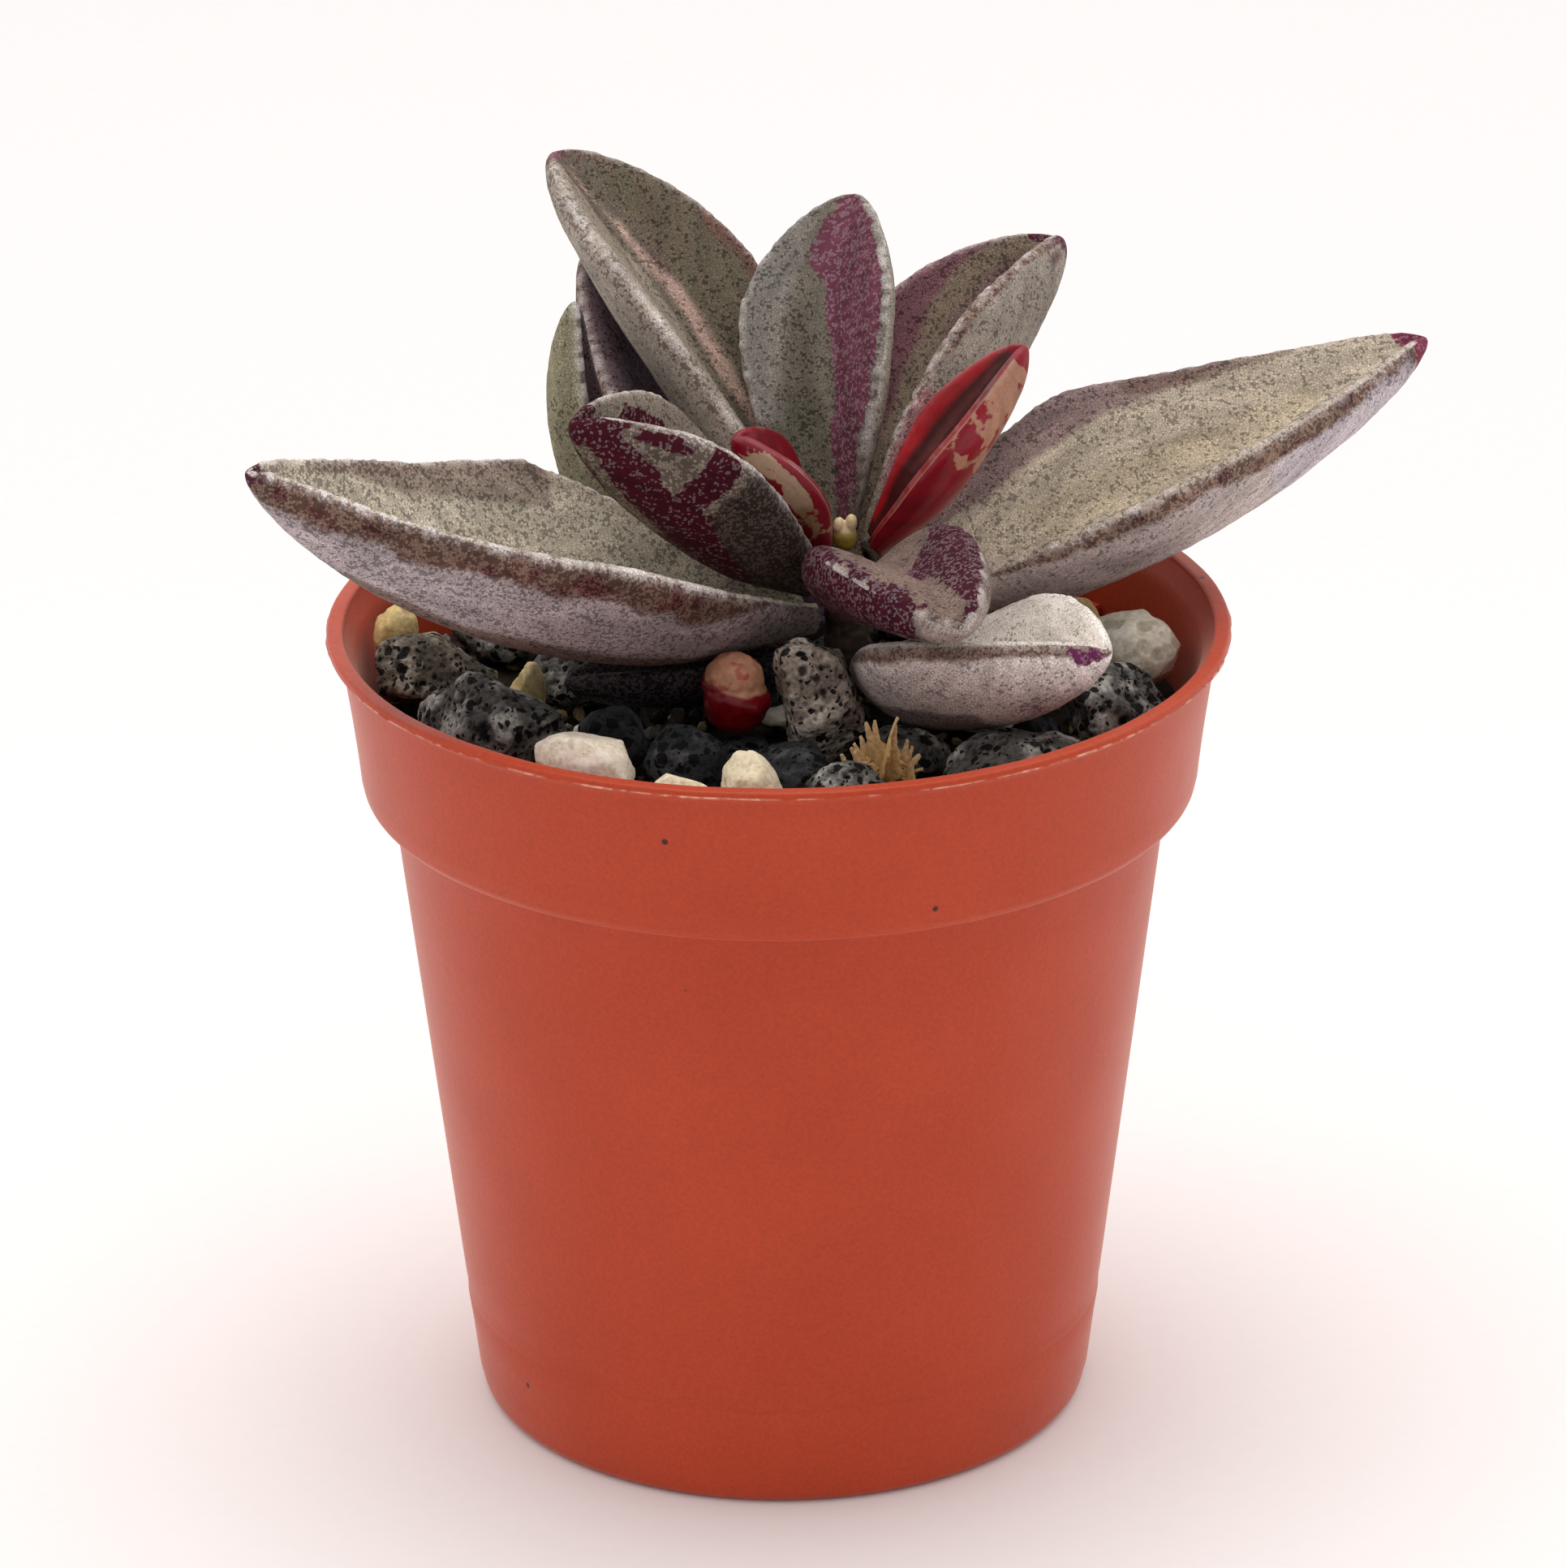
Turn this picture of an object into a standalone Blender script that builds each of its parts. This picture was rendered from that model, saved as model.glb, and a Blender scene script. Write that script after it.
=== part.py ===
"""A variegated lenophyllum in a small plastic nursery pot, topped with lava gravel.

Metres, +Z up. The origin is the middle of the pot's base, on the surface it stands on.
The plant is seen from -Y. Run with: blender --background --python part.py
"""
import math
import random

import bmesh
import bpy
import numpy as np
from mathutils import Matrix, Vector, noise

MM = 0.001
GAP = 0.3                    # clearance between pieces that touch, mm
SHARP_ANGLE = 40.0           # edges steeper than this are shaded sharp, degrees

# Pot, mm: a 5.5 cm thin-walled round nursery pot
POT_HEIGHT = 50.9
RIM_RADIUS = 27.6
LIP_HEIGHT = 0.6
BAND_TOP_RADIUS = 26.9
BAND_LOW_RADIUS = 25.65
STEP_Z = 40.4
WALL_TOP_RADIUS = 23.9
WALL_LOW_RADIUS = 19.1
BASE_CORNER = 0.95
FLOOR_THICK = 1.2
WALL_THICK = 0.85
LIP_WIDTH = 1.0
LIP_EDGE = 0.2
STEP_ROUND = 0.92
BAND_SWELL = 1.3
POT_STEPS = 56
DRAIN_COUNT = 4
DRAIN_RADIUS = 2.4
DRAIN_SPREAD = 10.5
RIB_COUNT = 4
RIB_FIRST_TURN = 38.0
RIB_WIDTH = 1.3
RIB_DEPTH = 1.6
RIB_LOW_Z = 41.6
RIB_TOP_Z = 45.7

# Potting mix, mm
MIX_EDGE_Z = 44.5
MIX_STEPS = 48
MIX_RINGS = (21.5, 17.5, 13.0, 8.5, 4.5)
MOUND_HEIGHT = 1.3
MOUND_SPREAD = 70
HEAP_HEIGHT = 1.5
HEAP_AT = (-22, 3)
HEAP_SPREAD = 55
UNEVEN_HEIGHT = 0.35
UNEVEN_SCALE = 0.22
UNEVEN_SEED = 4.1

# Plant, mm
STEM_X = 4.1
STEM_Y = 0.3
STEM_RADIUS = 1.4
STEM_TOP_Z = 54.9
STEM_FOOT_Z = 30.0
STEM_LEVELS = 20
STEM_WAIST = 0.14
STEM_JOINTS = 2.6            # radians of swelling per mm of height
TIP_TOP_Z = 57.6
TIP_SIZE = (1.5, 1.4)
KNOB_SIZE = (0.78, 0.9)
KNOB_OFFSET = 0.36

# Leaves, mm and degrees. turn is the leaf's heading round the stem, counted from +X, and
# swing adds to it towards the tip. rise is the midrib's slope at the base, and curl adds
# to it. roll and twist turn the blade about its midrib. fold is how steeply each half
# stands up from the midrib, and close adds to it. widest is the share of the length where
# the blade is widest, and point says how full the blade stays towards its tip.
LEAF_DEFAULTS = dict(
    swing=0, roll=0, twist=0, close=-4, crease=0.36, widest=0.52, point=1.7, neck=0.22,
    reach=2.65, thick=2.6,
)
LEAVES = {
    "leaf_left_large": dict(
        turn=205, swing=4, rise=-1, curl=49, roll=-6, twist=-10, length=41.2, half=10.3,
        fold=53, close=8, widest=0.47, point=1.22, z=51.3, thick=3.0),
    "leaf_right_large": dict(
        turn=20, swing=7, rise=4, curl=29, roll=5, twist=-10, length=39.4, half=10.4,
        fold=52, widest=0.45, point=1.2, z=50.8, thick=3.0),
    "leaf_back_tall": dict(
        turn=131, swing=-2, rise=46, curl=-11, roll=16, twist=-24, length=33.3, half=7.0,
        fold=54, close=-10, widest=0.62, point=1.5, z=52.2, thick=2.8),
    "leaf_front_right": dict(
        turn=-55, swing=22, rise=-4, curl=47, roll=-3, twist=4, length=21.4, half=8.2,
        fold=47, close=5, widest=0.48, point=2.1, z=48.0, thick=2.8),
    "leaf_back_centre": dict(
        turn=98, swing=-24, rise=59, curl=-15, roll=-24, twist=10, length=22.1, half=6.0,
        fold=50, close=-12, widest=0.6, point=1.5, z=55.4, thick=2.4),
    "leaf_front_centre": dict(
        turn=-75, swing=6, rise=29, curl=-29, roll=3, twist=10, length=20.7, half=5.4,
        fold=49, close=-17, widest=0.38, point=2.1, z=53.2, thick=3.8, reach=2.3),
    "leaf_back_right": dict(
        turn=54, swing=-3, rise=34, curl=7, roll=-32, twist=29, length=25.1, half=8.4,
        fold=60, close=5, widest=0.59, point=1.55, z=53.8, thick=2.4),
    "leaf_left_mid": dict(
        turn=208, swing=-3, rise=27, curl=26, twist=-6, length=20.6, half=7.4,
        fold=51, close=16, widest=0.58, point=1.95, z=53.6),
    "leaf_red_right": dict(
        turn=-7, swing=5, rise=43, curl=25, roll=13, twist=6, length=16.0, half=3.9,
        fold=56, close=-2, point=1.65, z=55.7, thick=2.0, reach=1.95, neck=0.3),
    "leaf_red_left": dict(
        turn=202, swing=-1, rise=54, curl=8, roll=-6, twist=-5, length=9.8, half=4.2,
        fold=47, close=3, widest=0.55, point=1.8, z=55.35, thick=1.9, reach=1.95, neck=0.3),
    "leaf_back_low": dict(
        turn=133, swing=-8, rise=32, curl=18, twist=-5, length=29.4, half=6.3,
        fold=44, close=-9, z=49.1, thick=2.8),
    "leaf_far_left": dict(
        turn=165, swing=-3, rise=9, curl=97, roll=8, twist=2, length=30.0, half=3.6,
        fold=50, point=1.65, z=47.4),
    "leaf_under_left": dict(
        turn=204, swing=-6, rise=-4, curl=16, length=15.8, half=3.2,
        fold=44, close=-6, point=1.8, z=48.3, thick=2.4),
}
LEAF_RINGS = 15
LEAF_SIDES = 12
BLADE_EDGE = 2.8             # how square the blade's section is: 2 is an oval
BLADE_TOP = 0.4              # share of the thickness that lies above the midrib line
BLADE_FOOT = 0.55            # share of the thickness at the foot
BLADE_FULL = 0.3             # share of the length where it is at its full thickness
TIP_ROUND = 0.72
TIP_THIN = 5
LEAF_COLOURS = {
    "leaf_red_right": (0.50, 0.03, 0.07),
    "leaf_red_left": (0.45, 0.10, 0.11),
    "leaf_left_mid": (0.30, 0.16, 0.22),
    "leaf_front_centre": (0.28, 0.20, 0.24),
    "leaf_under_left": (0.09, 0.05, 0.07),
}
LEAF_COLOUR = (0.31, 0.28, 0.28)

# Stones, mm: middle (x, y), size (long, wide, high), turn in degrees, and a seed for the
# broken shape. lean tips its top along +X, and within is how far it may reach from its middle.
STONES = {
    "lava_big": dict(kind="lava", at=(-17.7, -9.4), size=(10.6, 6.8, 6.3), turn=-40, seed=11),
    "lava_left": dict(kind="brown_lava", at=(-20.9, -1.9), size=(7.6, 6.0, 5.0), turn=6, seed=12),
    "lava_centre": dict(kind="grey_lava", at=(2.3, -8.8), size=(5.0, 4.6, 8.0), turn=15, lean=-20,
                        seed=13),
    "lava_front_right": dict(kind="lava", at=(14.2, -15.0), size=(9.6, 5.6, 4.4), turn=20, seed=14),
    "lava_right": dict(kind="lava", at=(20.0, -5.6), size=(6.0, 7.4, 5.0), turn=-20, seed=15),
    "rock_left": dict(kind="dark", at=(-9.9, -11.2), size=(4.2, 4.4, 4.6), turn=35, seed=16),
    "rock_middle": dict(kind="dark", at=(-5.6, -13.6), size=(5.2, 5.0, 5.0), turn=-10, seed=17),
    "white_front": dict(kind="white", at=(-11.6, -17.2), size=(6.0, 5.4, 5.8), turn=-12, seed=18),
    "cream_front": dict(kind="cream", at=(-1.5, -19.6), size=(3.6, 3.6, 5.5), turn=20, seed=19),
    "cream_rim": dict(kind="cream", at=(-5.6, -21.2), size=(4.6, 3.2, 4.8), turn=8, seed=20),
    "yellow_left": dict(kind="yellow", at=(-23.6, 3.2), size=(2.9, 3.2, 4.4), turn=0, seed=21),
    "pale_right": dict(kind="pale", at=(21.8, 3.0), size=(6.0, 5.6, 5.0), turn=-20, seed=22),
    "yellow_right": dict(kind="yellow", at=(18.6, 8.0), size=(3.0, 2.8, 4.2), turn=40, seed=23),
    "rock_under_bud": dict(kind="dark", at=(-2.9, -8.0), size=(4.6, 4.4, 1.5), turn=0, seed=24),
    "grit_yellow": dict(kind="yellow", at=(-15.4, -2.4), size=(2.4, 2.0, 4.0), turn=10, seed=25),
}
# The rest of the gravel: fill stones between the named ones, under the leaves and behind.
FILL_COUNT = 26
FILL_TRIES = 1600
FILL_REACH = 24.5            # how far from the middle of the pot a stone's edge may lie, mm
FILL_SIZES = (3.3, 2.5, 1.8)  # half-widths, laid from large to small, mm
FILL_SPARE = 0.25
FILL_HEIGHT = 4.4
FILL_HEADROOM = 0.9
FILL_LEAST = 1.5
FILL_TURN = 137.508          # the sunflower angle, degrees
LEAF_SPARE = 1.2
FILL_KINDS = ("lava", "dark", "brown_lava", "cream", "lava", "dark", "pale")

# The small offset bud and the dried flower husk that lie on the gravel, mm
BUD_MIDDLE = (-2.6, -8.6, 49.5)
BUD_SIZE = (4.2, 4.2, 5.4)
HUSK_MIDDLE = (5.9, -15.6)
HUSK_FOOT = (2.6, 1.9, 2.0)
HUSK_BLADES = 9
HUSK_HEIGHT = 5.4
HUSK_BLADE = 0.62
HUSK_FAN = 46.0              # angle between the two outermost scales, degrees


def arc(middle, radius, start, end, count):
    """Points on a round, by angle in degrees."""
    turns = [math.radians(start + (end - start) * i / count) for i in range(count + 1)]
    return [(middle[0] + radius * math.cos(t), middle[1] + radius * math.sin(t)) for t in turns]


def material(name, colour, roughness, metallic=0.0):
    found = bpy.data.materials.get(name)
    if found:
        return found
    made = bpy.data.materials.new(name)
    made.use_nodes = True
    shader = made.node_tree.nodes["Principled BSDF"]
    shader.inputs["Base Color"].default_value = (*colour, 1)
    shader.inputs["Roughness"].default_value = roughness
    shader.inputs["Metallic"].default_value = metallic
    made.diffuse_color = (*colour, 1)
    return made


def add_object(name, mesh, collection, finish):
    made = bpy.data.objects.new(name, mesh)
    collection.objects.link(made)
    mesh.materials.append(finish)
    mesh.shade_smooth()
    mesh.set_sharp_from_angle(angle=math.radians(SHARP_ANGLE))
    return made


def add_cutter(name, mesh, collection):
    """A shape that is only joined to, or cut out of, another piece."""
    made = bpy.data.objects.new(name, mesh)
    collection.objects.link(made)
    made.hide_render = True
    made.display_type = "WIRE"
    return made


def skin(name, rings, start, end):
    """A closed mesh through rings of points, in mm. start and end are the closing points."""
    bm = bmesh.new()
    loops = [[bm.verts.new(Vector(p) * MM) for p in ring] for ring in rings]
    for near, far in zip(loops, loops[1:]):
        for i in range(len(near)):
            j = (i + 1) % len(near)
            bm.faces.new((near[i], near[j], far[j], far[i]))
    for loop, point in ((loops[0], start), (loops[-1], end)):
        tip = bm.verts.new(Vector(point) * MM)
        for i in range(len(loop)):
            bm.faces.new((loop[i], loop[(i + 1) % len(loop)], tip))
    bmesh.ops.recalc_face_normals(bm, faces=bm.faces)
    bmesh.ops.triangulate(bm, faces=bm.faces)
    mesh = bpy.data.meshes.new(name)
    bm.to_mesh(mesh)
    bm.free()
    return mesh


def turned(name, profile, steps, collection, finish):
    """A turned solid from a profile of (radius, z) in mm that runs down its outer side."""
    mesh = bpy.data.meshes.new(name)
    points = [(r * MM, 0, z * MM) for r, z in profile]
    mesh.from_pydata(points, [(i, i + 1) for i in range(len(points) - 1)], [])
    made = add_object(name, mesh, collection, finish)
    screw = made.modifiers.new("turn", "SCREW")
    screw.axis = "Z"
    screw.steps = steps
    screw.render_steps = steps
    screw.use_merge_vertices = True
    screw.merge_threshold = 0.00001
    screw.use_smooth_shade = True
    return made


def cut(target, cutter, operation="DIFFERENCE"):
    boolean = target.modifiers.new(cutter.name, "BOOLEAN")
    boolean.operation = operation
    boolean.solver = "EXACT"
    boolean.object = cutter


def smooth_step(share):
    share = np.clip(share, 0, 1)
    return share * share * (3 - 2 * share)


def wall_radius(z):
    """Outer radius of the pot's plain wall below the band, mm."""
    return WALL_LOW_RADIUS + (WALL_TOP_RADIUS - WALL_LOW_RADIUS) * z / STEP_Z


def band_radius(z):
    """Outer radius of the pot's upper band, mm."""
    share = (z - STEP_Z) / (POT_HEIGHT - LIP_HEIGHT - STEP_Z)
    return BAND_LOW_RADIUS + (BAND_TOP_RADIUS - BAND_LOW_RADIUS) * share ** BAND_SWELL


def pot_profile():
    low = WALL_LOW_RADIUS - WALL_THICK
    inner = [(0, FLOOR_THICK), (low - 0.8, FLOOR_THICK)]
    inner += [(wall_radius(2.2) - WALL_THICK, 2.2)]
    inner += [(wall_radius(STEP_Z - 0.2) - WALL_THICK, STEP_Z - 0.2)]
    inner += [(BAND_LOW_RADIUS - WALL_THICK, STEP_Z + 1.1)]
    inner += [(band_radius(z) - WALL_THICK, z) for z in (44.0, 47.6, 49.4)]
    rim = [(RIM_RADIUS - LIP_WIDTH, POT_HEIGHT - LIP_EDGE)]
    rim += [(RIM_RADIUS - LIP_WIDTH + LIP_EDGE, POT_HEIGHT)]
    rim += [(RIM_RADIUS - LIP_EDGE, POT_HEIGHT), (RIM_RADIUS, POT_HEIGHT - LIP_EDGE)]
    rim += [(RIM_RADIUS - 0.05, POT_HEIGHT - LIP_HEIGHT + 0.1)]
    rim += [(BAND_TOP_RADIUS, POT_HEIGHT - LIP_HEIGHT - 0.05)]
    outer = [(band_radius(z), z) for z in (48.4, 45.6, 42.6)]
    middle = (BAND_LOW_RADIUS - STEP_ROUND, STEP_Z + STEP_ROUND)
    outer += arc(middle, STEP_ROUND, 0, -80, 4)
    outer += [(WALL_TOP_RADIUS + 0.15, STEP_Z - 0.05), (WALL_TOP_RADIUS, STEP_Z - 0.4)]
    outer += [(wall_radius(z), z) for z in (27.0, 13.0)]
    outer += arc((WALL_LOW_RADIUS - BASE_CORNER, BASE_CORNER), BASE_CORNER, 0, -90, 4)
    return inner + rim + outer + [(0, 0)]


def rib_mesh(name, turn, spare):
    """One stacking rib on the pot's inside, or with spare the room it needs."""
    bm = bmesh.new()
    bmesh.ops.create_cube(bm, size=1)
    for vert in bm.verts:
        upper = vert.co.z > 0
        z = RIB_TOP_Z + spare if upper else RIB_LOW_Z - spare
        sunk = band_radius(RIB_TOP_Z if upper else RIB_LOW_Z) - WALL_THICK * 0.5
        if vert.co.x < 0:
            sunk = band_radius(RIB_LOW_Z) - WALL_THICK - RIB_DEPTH - spare
        vert.co = Vector((sunk, vert.co.y * (RIB_WIDTH + 2 * spare), z)) * MM
    bmesh.ops.rotate(bm, verts=bm.verts, matrix=Matrix.Rotation(math.radians(turn), 3, "Z"))
    mesh = bpy.data.meshes.new(name)
    bm.to_mesh(mesh)
    bm.free()
    return mesh


def rib_turns():
    return [RIB_FIRST_TURN + 360 * i / RIB_COUNT for i in range(RIB_COUNT)]


def rod_mesh(name, radius, low, high, sides):
    """An upright rod between two heights, mm."""
    bm = bmesh.new()
    lift = Matrix.Translation((0, 0, (low + high) / 2 * MM))
    bmesh.ops.create_cone(bm, cap_ends=True, segments=sides, radius1=radius * MM,
                          radius2=radius * MM, depth=(high - low) * MM, matrix=lift)
    mesh = bpy.data.meshes.new(name)
    bm.to_mesh(mesh)
    bm.free()
    return mesh


def make_pot(parts, cutters):
    finish = material("terracotta polypropylene", (0.47, 0.075, 0.036), 0.42)
    pot = turned("pot", pot_profile(), POT_STEPS, parts, finish)
    for i, turn in enumerate(rib_turns()):
        cut(pot, add_cutter(f"rib_{i}", rib_mesh(f"rib_{i}", turn, 0), cutters), "UNION")
    for i in range(DRAIN_COUNT):
        turn = math.radians(360 * (i + 0.5) / DRAIN_COUNT)
        rod = rod_mesh("drain", DRAIN_RADIUS, -1, FLOOR_THICK + 1, 20)
        hole = add_cutter(f"drain_{i}", rod, cutters)
        hole.location = Vector((math.cos(turn), math.sin(turn), 0)) * DRAIN_SPREAD * MM
        cut(pot, hole)


def mix_height(x, y):
    """Top of the potting mix, mm: a low mound round the stem and a heap on the left."""
    mound = MOUND_HEIGHT * math.exp(-((x - STEM_X) ** 2 + (y - STEM_Y) ** 2) / MOUND_SPREAD)
    heap = HEAP_HEIGHT * math.exp(-((x - HEAP_AT[0]) ** 2 + (y - HEAP_AT[1]) ** 2) / HEAP_SPREAD)
    place = Vector((x * UNEVEN_SCALE, y * UNEVEN_SCALE, UNEVEN_SEED))
    uneven = UNEVEN_HEIGHT * noise.noise(place)
    return MIX_EDGE_Z + mound + heap + uneven


def make_mix(parts, cutters):
    spare = WALL_THICK + GAP
    sides = [(wall_radius(1.6) - spare - 0.9, FLOOR_THICK + GAP)]
    sides += [(wall_radius(2.4) - spare, 2.4), (wall_radius(STEP_Z) - spare, STEP_Z + 0.1)]
    sides += [(BAND_LOW_RADIUS - spare - 0.5, STEP_Z + 1.6)]
    edge = band_radius(42.6) - spare
    turns = [2 * math.pi * i / MIX_STEPS for i in range(MIX_STEPS)]
    rings = [[(r * math.cos(t), r * math.sin(t), z) for t in turns] for r, z in sides]
    for radius in (edge, *MIX_RINGS):
        flat = [(radius * math.cos(t), radius * math.sin(t)) for t in turns]
        rings.append([(x, y, mix_height(x, y)) for x, y in flat])
    mesh = skin("potting_mix", rings, (0, 0, FLOOR_THICK + GAP), (0, 0, mix_height(0, 0)))
    mix = add_object("potting_mix", mesh, parts, material("peat mix", (0.022, 0.015, 0.011), 0.95))
    for i, turn in enumerate(rib_turns()):
        cut(mix, add_cutter(f"rib_room_{i}", rib_mesh(f"rib_room_{i}", turn, GAP), cutters))
    rod = rod_mesh("stem_hole", STEM_RADIUS + GAP, STEM_FOOT_Z - GAP, STEM_TOP_Z, 16)
    hole = add_cutter("stem_hole", rod, cutters)
    hole.location = (STEM_X * MM, STEM_Y * MM, 0)
    cut(mix, hole)


def make_stem(parts):
    """The woody stem, slightly swollen where the leaves are set."""
    levels = np.linspace(STEM_TOP_Z - 0.5, STEM_FOOT_Z, STEM_LEVELS)
    swell = [STEM_RADIUS - STEM_WAIST * (0.5 + 0.5 * math.cos(z * STEM_JOINTS)) for z in levels]
    profile = [(0, STEM_TOP_Z), (swell[0] - 0.3, STEM_TOP_Z)]
    profile += list(zip(swell, levels)) + [(0, STEM_FOOT_Z)]
    stem = turned("stem", profile, 12, parts, material("stem bark", (0.13, 0.085, 0.06), 0.8))
    stem.location = (STEM_X * MM, STEM_Y * MM, 0)


def blob_mesh(name, middle, size, level=2):
    """A rounded lump, mm."""
    bm = bmesh.new()
    bmesh.ops.create_icosphere(bm, subdivisions=level, radius=0.5)
    for vert in bm.verts:
        vert.co = Vector([vert.co[i] * size[i] + middle[i] for i in range(3)]) * MM
    mesh = bpy.data.meshes.new(name)
    bm.to_mesh(mesh)
    bm.free()
    return mesh


def make_growing_tip(parts, cutters):
    """The newest pair of leaves, still closed over the end of the stem."""
    foot = STEM_TOP_Z + GAP
    high = TIP_TOP_Z - foot
    olive = material("growing tip", (0.42, 0.30, 0.07), 0.45)
    middle = (STEM_X, STEM_Y, foot + high * 0.4)
    stub = blob_mesh("growing_tip", middle, (*TIP_SIZE, high * 0.8))
    tip = add_object("growing_tip", stub, parts, olive)
    for i, side in enumerate((-1, 1)):
        middle = (STEM_X + KNOB_OFFSET * side, STEM_Y - 0.1, foot + high * (0.74 + 0.04 * side))
        knob = blob_mesh(f"knob_{i}", middle, (*KNOB_SIZE, high * 0.5))
        cut(tip, add_cutter(f"knob_{i}", knob, cutters), "UNION")


def leaf_width(share, leaf):
    """Half-width of the blade if it were flat, mm."""
    early = np.clip(share / leaf["widest"], 0, 1)
    late = np.clip((share - leaf["widest"]) / (1 - leaf["widest"]), 0, 1)
    rise = leaf["neck"] + (1 - leaf["neck"]) * np.sin(np.pi / 2 * early)
    fall = (1 - late ** leaf["point"]) ** TIP_ROUND
    return leaf["half"] * np.where(share < leaf["widest"], rise, fall)


def leaf_axes(share, leaf):
    """Directions at a share of the length: along the midrib, and across it to its left."""
    slope = np.radians(leaf["rise"] + leaf["curl"] * share)
    heading = np.radians(leaf["turn"] + leaf["swing"] * share)
    flat = np.cos(slope)
    along = np.stack([flat * np.cos(heading), flat * np.sin(heading), np.sin(slope)], -1)
    across = np.stack([-np.sin(heading), np.cos(heading), 0 * heading], -1)
    return along, across


def leaf_midrib(share, leaf, steps=120):
    middles = (np.arange(steps) + 0.5) / steps
    pace = leaf_axes(middles, leaf)[0] * leaf["length"] / steps
    heading = math.radians(leaf["turn"])
    reach = leaf["reach"]
    foot = (STEM_X + reach * math.cos(heading), STEM_Y + reach * math.sin(heading), leaf["z"])
    path = np.concatenate([np.zeros((1, 3)), np.cumsum(pace, 0)]) + np.array(foot)
    marks = np.arange(steps + 1) / steps
    return np.stack([np.interp(share, marks, path[:, i]) for i in range(3)], -1)


def leaf_section(share, sideways, top, leaf):
    """Offsets across and up from the midrib, mm. sideways runs from -1 to 1 over the blade."""
    fold = np.radians(leaf["fold"] + leaf["close"] * share)
    crease = leaf["crease"]
    full = math.tanh(1 / crease)
    parts = 16
    inner = (np.arange(parts) + 0.5) / parts * sideways[..., None]
    slant = fold[..., None] * np.tanh(inner / crease) / full
    spread = sideways * leaf_width(share, leaf)
    edge = fold * np.tanh(sideways / crease) / full
    body = leaf["thick"] * (BLADE_FOOT + (1 - BLADE_FOOT) * smooth_step(share / BLADE_FULL))
    body = body * np.sqrt(1 - np.clip(share, 0, 1) ** TIP_THIN)
    round_off = (1 - np.abs(sideways) ** BLADE_EDGE) ** (1 / BLADE_EDGE)
    depth = body * round_off * np.where(top, BLADE_TOP, BLADE_TOP - 1)
    over = np.cos(slant).mean(-1) * spread - depth * np.sin(edge)
    up = np.sin(slant).mean(-1) * spread + depth * np.cos(edge)
    return over, up


def leaf_points(leaf, shares, sides):
    """Rings of points round the blade, from its foot to near its tip, mm."""
    turns = 2 * np.pi * np.arange(sides) / sides
    share, sideways = np.meshgrid(shares, np.cos(turns), indexing="ij")
    top = np.broadcast_to(np.sin(turns) > -1e-9, share.shape)
    over, up = leaf_section(share, sideways, top, leaf)
    along, across = leaf_axes(shares, leaf)
    rise = np.cross(along, across)
    roll = np.radians(leaf["roll"] + leaf["twist"] * (shares - 0.3))[:, None]
    rolled = across * np.cos(roll) + rise * np.sin(roll)
    raised = rise * np.cos(roll) - across * np.sin(roll)
    middle = leaf_midrib(shares, leaf)
    return middle[:, None] + rolled[:, None] * over[..., None] + raised[:, None] * up[..., None]


def make_leaf(name, sizes, parts):
    leaf = {**LEAF_DEFAULTS, **sizes}
    steps = np.arange(LEAF_RINGS) / LEAF_RINGS
    shares = 0.5 * steps + 0.5 * np.sin(np.pi / 2 * steps)
    rings = leaf_points(leaf, shares, LEAF_SIDES)
    tip = leaf_midrib(1.0, leaf)
    mesh = skin(name, rings.tolist(), rings[0].mean(0).tolist(), tip.tolist())
    colour = LEAF_COLOURS.get(name, LEAF_COLOUR)
    finish = material("leaf " + "-".join(str(round(c, 2)) for c in colour), colour, 0.7)
    add_object(name, mesh, parts, finish)


STONE_KINDS = {
    "lava": dict(colour=(0.075, 0.08, 0.09), cuts=7, rough=0.16, level=3),
    "brown_lava": dict(colour=(0.11, 0.10, 0.085), cuts=7, rough=0.16, level=3),
    "grey_lava": dict(colour=(0.22, 0.21, 0.20), cuts=7, rough=0.16, level=3),
    "dark": dict(colour=(0.035, 0.036, 0.04), cuts=9, rough=0.12, level=2),
    "white": dict(colour=(0.72, 0.68, 0.58), cuts=11, rough=0.05, level=2),
    "cream": dict(colour=(0.70, 0.62, 0.42), cuts=10, rough=0.08, level=2),
    "yellow": dict(colour=(0.62, 0.50, 0.26), cuts=9, rough=0.10, level=2),
    "pale": dict(colour=(0.52, 0.50, 0.38), cuts=9, rough=0.10, level=2),
}


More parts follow.
